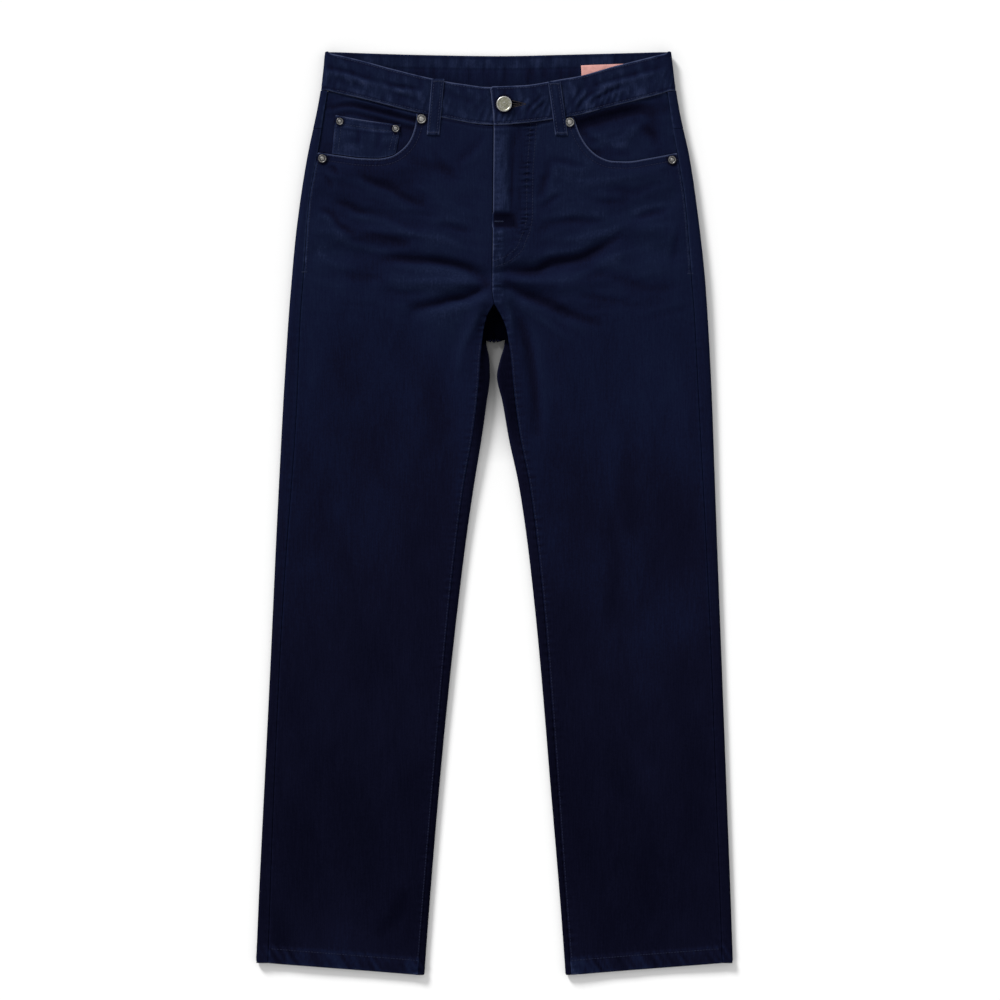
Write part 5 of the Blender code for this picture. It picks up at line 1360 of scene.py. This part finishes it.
def make_waistband():
    coarse = band_grid()
    row_at = stations(list(chords(coarse, 0)), 1.7)
    column_at = stations(list(chords(coarse, 1)), 1.6)
    grid = refine(coarse, row_at, column_at)
    normals = grid_normals(grid, 1)
    x, y = grid[..., 0], grid[..., 1]
    down = np.linalg.norm(grid - grid[:1], axis=-1)
    height = down[-1:]
    upward = step_up(normals[..., 2], -0.2, 0.5)
    ends = chords(grid, 1)
    # The upper corner of the lap is rounded
    round_off = 1 - np.clip(ends / LAP_CORNER, 0, 1)
    corner = LAP_CORNER * (1 - np.sqrt(1 - round_off**2))
    grid[..., 1] -= corner[None, :] * (1 - step_up(down, 0, 10))
    relief = band_relief(x, y, down, height)
    hole = (BUTTONHOLE.half * np.clip((BUTTONHOLE.x1 - x) / (BUTTONHOLE.x1 - BUTTONHOLE.x0), 0, 1)
            - np.abs(y - BUTTONHOLE.y)) * (x > BUTTONHOLE.x0 - 3)
    hole = step_up(hole, 0, 0.9) * (np.arange(x.shape[1]) < x.shape[1] // 4)[None, :]
    relief = relief - 1.1 * hole
    floor_groove = 0.3 * bell(down, 2.6, 0.8) + 0.3 * bell(height - down, 2.8, 0.8)
    relief = upward * relief - (1 - upward) * floor_groove
    sink = rolled(down, 1.1, 1.5) + rolled(height - down, 0.8, 1.4)
    sink = sink + (rolled(ends, 0.9, 1.5) + rolled(ends[-1] - ends, 0.9, 1.5))[None, :]
    inside = crease_relief(INNER_BAND_CREASES, x, y) - 0.5 * bell(down, 15.5, 1.3)
    inside += 0.3 * (down < 15) * ripple(x, 8, 0.6) * bell(down, 9, 7)
    inside += 0.3 * (down > 15) * ripple(x + 3, 8.6, 2.6) * bell(down, 22, 8)
    inside = inside * (1 - upward) - rolled(down, 0.7, 1.6) - rolled(height - down, 0.3, 1.5)
    outer = grid + normals * (relief - sink)[..., None]
    inner = grid - normals * (BAND_THICKNESS + inside)[..., None]
    front = np.abs(x - 4) < 184
    # The tone follows the relief: paler on ridges, worn and partly a painted highlight, and darker in troughs as
    # painted shade. The folded edges, at the front's top, the bottom and the lap's end, are paler, worn and partly
    # a painted highlight, each with a line of painted shade in the stitch groove beside it; the buttonhole's
    # opening is painted dark as shade.
    tone = 0.70 + np.clip(0.14 * relief, -0.2, 0.12) + 0.36 * front * bell(down, 0, 1.5)
    tone = tone - 0.10 * bell(down, 3.2, 1.2) * upward - 0.42 * hole
    tone += 0.34 * bell(height, down, 1.3) - 0.14 * bell(height - down, 3, 0.9)
    tone = tone + (0.36 * bell(ends, 0, 1.5) - 0.14 * bell(ends, 3.4, 1.2))[None, :]
    # The band's inner side: painted shade along its top edge and darker painted shade further down, deeper in the
    # waist opening.
    under = 0.03 - 0.14 * step_up(down, 12, 16) - 0.32 * bell(down, 0, 2.4)
    under = under + 0.1 * unevenness(x, y, 6, 16, 13)
    tone = tone + (1 - upward) * under
    tone = tone + upward * (0.07 * unevenness(x + 0.5 * y, y, 7, 9, 16) - painted_stud_shade(x, y))
    shell("waistband", outer, inner, tone, normals)


def top_under(points, from_above=True):
    """Heights of the topmost (or lowest) cloth at places in plan, or None where there is none."""
    way = -1 if from_above else 1
    start = 0.06 if from_above else -0.03
    found = []
    for px, py in points:
        hit = TREE.ray_cast(Vector((px * MM, py * MM, start)), Vector((0, 0, way)))[0]
        found.append(None if hit is None else hit.z / MM)
    return found


def skin_tree():
    verts, faces, count = [], [], 0
    for points, quads in SKINS:
        verts.append(points)
        faces.append(quads + count)
        count += len(points)
    return BVHTree.FromPolygons(np.concatenate(verts).tolist(), np.concatenate(faces).tolist())


def coarse_loop(loop):
    rows = []
    for share in np.linspace(0, 1, 9):
        x = loop.top_x + share * (loop.bottom_x - loop.top_x)
        y = loop.top_y + share * (loop.bottom_y - loop.top_y)
        spread = (-0.5, -0.17, 0.17, 0.5)
        under = max(surface_under(loop.side, x + s * LOOP_WIDTH, y) for s in spread)
        rows.append([(x + s * LOOP_WIDTH, y, under + SEAM_GAP + 0.1 + LOOP_THICKNESS) for s in spread])
    return np.array(rows)


def make_front_loop(loop):
    """A belt loop: two rows of stitches along it, folded edges and its ends tacked down."""
    coarse = coarse_loop(loop)
    row_at = stations(list(chords(coarse, 0)), 1.8)
    grid = refine(coarse, row_at, np.linspace(0, LOOP_WIDTH, 15))
    x, y = grid[..., 0], grid[..., 1]
    across = (x - x[:, :1])
    found = top_under(join(x.ravel(), y.ravel()))
    under = np.array([-9 if z is None else z for z in found]).reshape(x.shape)
    under = np.maximum(under.max(axis=1, keepdims=True) - 0.5, under)
    height = np.maximum(grid[..., 2], under + LOOP_THICKNESS + 0.1)
    height = height + 0.25 * np.sin(math.pi * across / LOOP_WIDTH) - 0.3 * bell(across, 2.6, 0.8)
    height -= 0.3 * bell(LOOP_WIDTH - across, 2.6, 0.8)
    down = chords(grid, 0)[:, None]
    height += 0.12 * ripple(down + across, 6, 1)
    tone = 0.63 + 0.09 * bell(across - LOOP_WIDTH / 2, 0, 3) + 0.06 * unevenness(x, y, 5, 8, 21)
    # The folded side edges are paler, worn and partly a painted highlight.
    tone += 0.26 * bell(np.minimum(across, LOOP_WIDTH - across), 0, 1)
    tone += 0.16 * bell(down[-1:] - down, 2.6, 1.4)
    patch(loop.name, np.dstack([x, y]), height, tone, (0.7, 0.7, 0.6, 0.6), LOOP_THICKNESS)


def make_back_loop(k, x):
    half = LOOP_WIDTH / 2
    low, high = BACK_LOOP_Y
    xs = np.concatenate([x - half + np.array(EDGE_STEPS[:6]), x + half - np.array(EDGE_STEPS[5::-1])])
    upper = join(xs, np.full(xs.shape, high))
    lower = join(xs, np.full(xs.shape, low))
    plan = between(upper, lower, stations([0, high - low], 1.8) / (high - low))
    across = plan[..., 0] - x + half
    groove = 0.35 * bell(across, 2.6, 0.8) + 0.35 * bell(LOOP_WIDTH - across, 2.6, 0.8)
    tone = np.full(across.shape, 0.66)
    patch(f"belt_loop_back_{k}", plan, groove, tone, (0.4, 0.4, 0.4, 0.4), CLOTH, -1)


def back_pocket_sides(side):
    """Left, right and lower corners of a back pocket."""
    sign = SIGN[side]
    top_half, low_half = (width / 2 for width in BACK_POCKET_WIDTH)
    centre, top = sign * BACK_POCKET_X, BACK_POCKET_TOP_Y
    low, point = top - BACK_POCKET_SIDE, top - BACK_POCKET_POINT
    return [(centre - top_half, top), (centre + top_half, top), (centre + low_half, low), (centre, point),
            (centre - low_half, low)]


def make_back_pocket(side):
    """A patch with a pointed lower edge; its stitches lie in grooves, so that its outer side stays flat."""
    a, b, c, tip, d = (np.array(p) for p in back_pocket_sides(side))
    share = stations([0, BACK_POCKET_WIDTH[0]], 3) / BACK_POCKET_WIDTH[0]
    upper = a + share[:, None] * (b - a)
    lower = d + share[:, None] * (c - d)
    lower[:, 1] = tip[1] + np.abs(share * 2 - 1) * (c[1] - tip[1])
    plan = between(upper, lower, stations([0, BACK_POCKET_SIDE], 3) / BACK_POCKET_SIDE)
    x, y = plan[..., 0], plan[..., 1]
    across = chords(np.dstack([plan, 0 * x]), 1)[None, :]
    down = chords(np.dstack([plan, 0 * x]), 0)[:, None]
    side_off = np.minimum(across, across[:, -1:] - across)
    low_off = down[-1:] - down
    top_off = down
    groove = 0
    for off, rows in ((side_off, (2.2, 8.6)), (low_off, (2.2, 8.6)), (top_off, (3, 15))):
        for at in rows:
            groove = np.maximum(groove, 0.45 * bell(off, at, 0.9))
    wavy = 0.12 * (1 + ripple(x + y, 9, 0.4)) * bell(np.minimum(side_off, low_off), 0, 6)
    # The stitch grooves are painted darker: painted shade.
    tone = np.full(x.shape, 0.58) - 0.2 * groove
    patch(f"back_pocket_{side}", plan, groove + wavy, tone, (0.4, 0.4, 0.4, 0.4), CLOTH, -1)


def tube_faces(rings, sides, first=0):
    """Quads between rings of points, with a cap at each end."""
    last = first + (rings - 1) * sides
    faces = []
    for a in range(first, last, sides):
        for k in range(sides):
            n = (k + 1) % sides
            faces.append((a + k, a + n, a + sides + n, a + sides + k))
    return faces + [tuple(range(first, first + sides))[::-1], tuple(range(last, last + sides))]


def turned(stud, profile, segments, base, material, tarnish=0, rim_dark=0.55, sunk_painted_shade=0.5):
    """A round piece, turned from a profile of radius and height, with its tarnish and the painted shade on its rim
    and in its sunk ring; a negative rim value makes the rim paler.
    """
    angles = np.linspace(0, 2 * math.pi, segments, endpoint=False)
    ring = join(np.cos(angles), np.sin(angles))
    verts, dark = [], []
    widest, highest = (max(place[k] for place in profile) for k in (0, 1))
    for radius, height in profile:
        verts += [(stud.x + radius * c, stud.y + radius * s, base + height) for c, s in ring]
        # Painted shade on the rim and in the sunk ring, added to the tarnish; a negative rim_dark makes the rim
        # paler.
        rim = rim_dark * float(step_up(radius / widest, 0.8, 0.97))
        sunk = sunk_painted_shade * float(step_up(highest - height, 0.3, 0.72)) * (radius < 0.8 * widest)
        dark += [tarnish + rim + sunk] * segments
    mesh = new_mesh(stud.name, verts, tube_faces(len(profile), segments))
    mesh.attributes.new("dark", "FLOAT", "POINT").data.foreach_set("value", dark)
    add_piece(stud.name, mesh, material, "hardware", [stud.name])


def base_and_top(stud, sunk):
    """Where a stud's profile starts, sunk below its box, and its height from there."""
    low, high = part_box(stud.name)
    base = low[2] / MM - sunk
    return base, high[2] / MM - base


def make_rivet(stud, rim):
    """A pressed rivet: a flat rim, a groove and a low domed middle."""
    base, top = base_and_top(stud, 0.8)
    radius = stud.diameter / 2
    profile = [
        (radius - 0.3, 0), (radius, 0.4), (radius, top - 0.75), (radius - 0.12, top - 0.5),
        (radius - 0.45, top - 0.36), (radius - 0.5 * rim, top - 0.3), (radius - rim, top - 0.42),
        (radius - rim - 0.35, top - 0.68), (radius - rim - 0.75, top - 0.6), (0.34 * radius, top - 0.12),
        (0.2 * radius, top - 0.02), (0.06 * radius, top),
    ]
    tarnish = 0 if stud.name.endswith(("right_inner", "left_inner")) else 0.11
    turned(stud, profile, 48, base, METAL, tarnish)


def make_button():
    """The waist button: a shank, a rounded silver rim, a shallow ring and a plain slightly domed face."""
    base, top = base_and_top(BUTTON, 0.2)
    radius = BUTTON.diameter / 2
    profile = [
        (3, 0), (3, 1.2), (radius - 1.2, 1.35), (radius - 0.3, 1.8), (radius, 2.6), (radius - 0.1, top - 0.75),
        (radius - 0.5, top - 0.22), (radius - 1, top - 0.05), (radius - 1.5, top - 0.12),
        (radius - 1.95, top - 0.32), (radius - 2.3, top - 0.55), (radius - 2.8, top - 0.55),
        (radius - 3.3, top - 0.5), (radius - 4.6, top - 0.4), (2.2, top - 0.3), (0.2, top - 0.26),
    ]
    turned(BUTTON, profile, 72, base, BUTTON_METAL, 0, -0.25, 0)


def make_label():
    """The bare tape label inside the back of the waistband."""
    width, depth, thick = LABEL_SIZE
    ux, uy = math.cos(LABEL_TILT), math.sin(LABEL_TILT)
    x, y = LABEL_CORNER
    a = np.linspace(0, width, 44)[None, :]
    b = np.linspace(0, -depth, 26)[:, None]
    plan = np.dstack([x + a * ux - b * uy, y + a * uy + b * ux])
    base = BACK_LIFT + BAND_THICKNESS + SEAM_GAP + thick
    height = base + 0.35 * np.sin(a / 9 + b / 14) * np.sin(math.pi * a / width) + 0.15 + 0 * plan[..., 0]
    patch("waist_label", plan, height, np.full(height.shape, 0.5), (0.2, 0.2, 0.2, 0.2), thick, 1,
          material=LABEL, slot="label")


STITCH_RINGS = ((0, 0.35, -0.25), (0.14, 0.95, 0.1), (0.5, 1, 0.45), (0.86, 0.95, 0.1), (1, 0.35, -0.25))
STITCH_SIDES = 6
# How far the rows of stitches are from the edge beside them, and the close stitches of the bar tacks
MOUTH_STITCHES = (1.9, 7.6)
HEM_STITCHES = HEM_DEPTH - 2.2
BAND_STITCHES = {"top": -2.6, "bottom": 2.8}
BACK_SINK = 0.28
TACK_INSET = 2.6
TACK_WIDTH = LOOP_WIDTH - 2.5
TACK_STEP = 0.9
TACK_STITCH = {"pitch": 1.7, "length": 1.8}


def stitch_mesh(path, from_above=True, pitch=3.1, length=2.4, radius=0.3, sink=0):
    """Separate stitches along a line in plan, each a short thread that dips into the cloth at both ends."""
    pts = np.array(path, float)
    reach = lengths(pts)
    count = max(1, int(reach[-1] / pitch))
    way = 1 if from_above else -1
    verts, faces = [], []
    for s in (np.arange(count) + 0.5) * reach[-1] / count:
        ends = places_at([s - length / 2, s, s + length / 2], reach, pts)
        heights = top_under(ends, from_above)
        if None in heights:
            continue
        start, middle, end = np.column_stack([ends, heights])
        if abs(start[2] - end[2]) > 1.6 or abs(middle[2] - 0.5 * (start[2] + end[2])) > 0.8:
            continue
        run = end - start
        run /= np.linalg.norm(run)
        across = np.cross(run, (0, 0, 1))
        across /= np.linalg.norm(across)
        up = np.cross(across, run)
        faces += tube_faces(len(STITCH_RINGS), STITCH_SIDES, len(verts))
        for share, size, rise in STITCH_RINGS:
            spine = start + share * (end - start)
            spine = spine + (middle - 0.5 * (start + end)) * 4 * share * (1 - share)
            spine = spine + way * (rise * radius - sink) * up
            for k in range(STITCH_SIDES):
                turn = 2 * math.pi * k / STITCH_SIDES
                verts.append(spine + radius * size * (math.cos(turn) * across + 0.8 * math.sin(turn) * up))
    return verts, faces


def add_stitches(name, rows, from_above=True, material=None, **how):
    verts, faces = [], []
    for path in rows:
        more, quads = stitch_mesh(path, from_above, **how)
        faces += [tuple(v + len(verts) for v in quad) for quad in quads]
        verts += more
    mesh = new_mesh(name, verts, faces)
    edit = bmesh.new()
    edit.from_mesh(mesh)
    bmesh.ops.recalc_face_normals(edit, faces=edit.faces)
    edit.to_mesh(mesh)
    edit.free()
    add_piece(name, mesh, material or THREAD, "denim")


def seam_line(table, side, low, high, off):
    y = np.linspace(high, low, 60)
    return join(edge_x(table, side, y) + off, y)


def hem_line(side, rise):
    x_in, x_out = (float(find(side, y)) for find, y in ((inner_x, HEM_INNER_Y), (seam_at, HEM_SIDE_Y)))
    return [(x_in, HEM_INNER_Y + rise), (x_out, HEM_SIDE_Y + rise)]


def band_line(points, off, x0, x1):
    x = np.linspace(x0, x1, 60)
    return join(x, curve_y(points, x) + off)


def bar_tack(x, y, width, depth=1.6):
    """Close stitches side by side, which hold down an end."""
    starts = [x - width / 2 + TACK_STEP * k for k in range(int(width / TACK_STEP) + 1)]
    return [[(start, y - depth / 2), (start, y + depth / 2)] for start in starts]


def make_stitches():
    for side in SIDES:
        sign = SIGN[side]
        near, far = (beside(mouth_points(side), -sign * off) for off in MOUTH_STITCHES)
        add_stitches(f"stitches_front_{side}", [near])
        rows = [far, hem_line(side, HEM_STITCHES)]
        rows.append(seam_line(INSEAM, side, -486, 186, sign * 2))
        if side == "left":
            path = bend(FLY_PATH, 60)
            rows += [path, beside(path, -6.4)]
        rows.append(seam_line(SIDE_SEAM, side, 262, 384, -sign * 2.2))
        add_stitches(f"stitches_leg_{side}", rows, material=LEG_THREAD)
    rows = []
    for x0, x1 in ((-172, -74), (-54, -6), (2, 58), (81, 178)):
        rows.append(band_line(FRONT_BAND_TOP, BAND_STITCHES["top"], x0, x1))
        rows.append(band_line(FRONT_BAND_BOTTOM, BAND_STITCHES["bottom"], x0, x1))
    add_stitches("stitches_waistband", rows + [[(-2.4, 460.5), (-1.4, 426)]])
    (top_left, top_right), (low_left, low_right) = (np.array(COIN_POCKET[edge]) for edge in ("top", "bottom"))
    rows = [[top_left - (0, drop), top_right - (0, drop)] for drop in (2, 9)]
    rows += [[top_left + (2, -1), low_left + (2, 2)], [top_left + (6.5, -9), low_left + (6.5, 2)]]
    rows += [[top_right - (2, 1), low_right - (2, -2)], [top_right - (7.5, 9), low_right - (7.5, -2)]]
    add_stitches("stitches_coin_pocket", rows)
    rows, tacks = [], []
    for loop in FRONT_LOOPS:
        for off in (TACK_INSET - LOOP_WIDTH / 2, LOOP_WIDTH / 2 - TACK_INSET):
            rows.append([(loop.top_x + off, loop.top_y - 2), (loop.bottom_x + off, loop.bottom_y + 2)])
        tacks += bar_tack(loop.top_x, loop.top_y - TACK_INSET, TACK_WIDTH)
        tacks += bar_tack(loop.bottom_x, loop.bottom_y + TACK_INSET, TACK_WIDTH)
    add_stitches("stitches_belt_loops", rows)
    tacks += bar_tack(-207, 262.5, 5.5) + bar_tack(213.5, 261, 5.5) + bar_tack(5, 317.5, 9, 1.8)
    add_stitches("bar_tacks", tacks, radius=0.32, **TACK_STITCH)


def make_back_stitches():
    for side in SIDES:
        sign = SIGN[side]
        corners = [np.array(p) for p in back_pocket_sides(side)]
        middle = sum(corners) / 5
        rows = []
        for inset in (2.2, 8.6):
            inner = [p + (middle - p) * inset * 1.35 / np.linalg.norm(middle - p) for p in corners]
            rows.append(inner[:1] + inner[:0:-1])
        rows += [[corners[0] + (2, -drop), corners[1] + (-2, -drop)] for drop in (3, 15)]
        add_stitches(f"stitches_back_pocket_{side}", rows, False, sink=BACK_SINK)
        rows = [hem_line(side, HEM_STITCHES)]
        rows.append([(CENTRE_BACK_X + sign * 4, 384), (sign * 195, 417)])
        rows.append([(CENTRE_BACK_X + sign * 2.6, y) for y in (452, 214)])
        add_stitches(f"stitches_back_{side}", rows, False, sink=BACK_SINK)
    rows = [
        band_line(BACK_BAND_TOP, BAND_STITCHES["top"], -178, 186),
        band_line(BACK_BAND_BOTTOM, BAND_STITCHES["bottom"], -178, 186),
    ]
    add_stitches("stitches_waistband_back", rows, False, sink=BACK_SINK)
    low, high = BACK_LOOP_Y
    tacks = []
    for x in BACK_LOOP_X:
        tacks += bar_tack(x, low + TACK_INSET, TACK_WIDTH) + bar_tack(x, high - TACK_INSET, TACK_WIDTH)
    add_stitches("back_bar_tacks", tacks, False, sink=0.32, **TACK_STITCH)


def make_buttonhole():
    """The worked end of the buttonhole beside the button: threads along both edges and across the opening."""
    x0, x1, y, half = BUTTONHOLE
    rows = [[(x0 + 2, y + 0.9 * half), (x1, y + 0.3)], [(x0 + 2, y - 0.9 * half), (x1, y - 0.3)]]
    rows += [[(x0 + 2.4, y + 0.4), (x1 - 4, y + 0.3)], [(x0 + 2.4, y - 2), (x1 - 6, y - 0.2)]]
    add_stitches("buttonhole", rows, pitch=1.5, length=1.9, radius=0.36, material=HOLE_THREAD)


for garment_side in SIDES:
    make_panels(garment_side)
    make_pocket_facing(garment_side)
    make_back_pocket(garment_side)
make_coin_pocket()
make_waistband()
make_label()
for number, loop_x in enumerate(BACK_LOOP_X, start=1):
    make_back_loop(number, loop_x)
TREE = skin_tree()
for front_loop in FRONT_LOOPS:
    make_front_loop(front_loop)
for studs, rim_width in ((RIVETS, 1.3), (COIN_RIVETS, 1.1)):
    for one_stud in studs:
        make_rivet(one_stud, rim_width)
make_button()
TREE = skin_tree()
make_stitches()
make_back_stitches()
make_buttonhole()

# Each sheet: the flat size of what shows of its cut, that cut's area, what it lies on and the stitches on it
Cut = namedtuple("Cut", "piece width length area rests_on stitches")
CUTS = rows_of(Cut,
    ("front_panel_right", 0.235, 0.94, 0.162, ("back_panel_right",),
     ("stitches_front_right", "stitches_leg_right")),
    ("front_panel_left", 0.235, 0.94, 0.163, ("back_panel_left",),
     ("stitches_front_left", "stitches_leg_left", "bar_tacks")),
    ("back_panel_right", 0.26, 0.95, 0.185, ("back_pocket_right",), ("stitches_back_right",)),
    ("back_panel_left", 0.26, 0.95, 0.187, ("back_pocket_left",), ("stitches_back_left",)),
    ("back_yoke_right", 0.21, 0.075, 0.0112, ("belt_loop_back_1",), ()),
    ("back_yoke_left", 0.21, 0.075, 0.0115, ("belt_loop_back_3",), ()),
    ("pocket_facing_right", 0.115, 0.08, 0.0063, ("back_yoke_right",), ()),
    ("pocket_facing_left", 0.12, 0.08, 0.0065, ("back_yoke_left",), ()),
    ("coin_pocket", 0.072, 0.045, 0.0026, ("pocket_facing_right",), ("stitches_coin_pocket",)),
    ("waistband", 0.85, 0.043, 0.034, ("belt_loop_back_2",),
     ("stitches_waistband", "stitches_waistband_back", "buttonhole")),
    ("belt_loop_front_right", 0.0135, 0.062, None, ("waistband",), ("stitches_belt_loops",)),
    ("belt_loop_front_left", 0.0135, 0.06, None, ("waistband",), ()),
    ("belt_loop_back_1", 0.0135, 0.054, None, (), ()), ("belt_loop_back_2", 0.0135, 0.054, None, (), ()),
    ("belt_loop_back_3", 0.0135, 0.054, None, (), ("back_bar_tacks",)),
    ("back_pocket_right", 0.146, 0.16, 0.0203, (), ("stitches_back_pocket_right",)),
    ("back_pocket_left", 0.146, 0.16, 0.0203, (), ("stitches_back_pocket_left",)),
    ("waist_label", 0.052, 0.031, None, ("waistband",), ()))
for cut in CUTS:
    [PIECES[name].name for name in cut.rests_on]
    [PIECES[name] for name in cut.stitches]


def make_floor():
    wide = 6
    corners = [(-wide, -wide, 0), (wide, -wide, 0), (wide, wide, 0), (-wide, wide, 0)]
    mesh = bpy.data.meshes.new("floor")
    mesh.from_pydata(corners, [], [(0, 1, 2, 3)])
    obj = show("floor", mesh)
    obj.location.z = -0.0003
    place, add, ramp, finish = node_maker("studio_floor")
    # The photograph's floor is much dimmer between the legs, near the crotch, than the lamps make it
    # A painted shadow: the floor darkens in a soft round patch between the legs, near the crotch.
    x, y, reach = 0, 0.183, 0.13
    near = add("Mapping", Vector=place, Location=(-x / reach, -y / reach, 0), Scale=(1 / reach, 1 / reach, 1))
    away = add("VectorMath", near["Vector"], operation="LENGTH")["Value"]
    painted_shadow_greys = ((0, 0.155), (0.25, 0.19), (0.46, 0.38), (0.7, 0.62), (1, 0.82))
    mesh.materials.append(finish(ramp(away, [Shade(at, grey, grey, grey) for at, grey in painted_shadow_greys]), 1, 0))


def make_light(energy, fill):
    world = bpy.data.worlds.new("studio_fill")
    bpy.context.scene.world = world
    world.use_nodes = True
    background = world.node_tree.nodes["Background"].inputs
    background["Color"].default_value = (1, 1, 1, 1)
    background["Strength"].default_value = fill
    sun = bpy.data.lights.new("key", "SUN")
    sun.energy = energy
    sun.angle = math.radians(15)
    show("key", sun).rotation_euler = Vector((0.5, -0.84, -0.47)).to_track_quat("-Z", "Y").to_euler()


def make_camera():
    data = bpy.data.cameras.new("camera")
    data.lens = 135
    data.sensor_width = 36
    data.clip_end = 20
    obj = show("camera", data)
    obj.location = (0.006, 0.0142, 1.09 * data.lens / data.sensor_width + 0.01)
    bpy.context.scene.camera = obj


make_floor()
make_light(3.85, 0.73)
make_camera()
bpy.context.scene.view_settings.view_transform = "Standard"
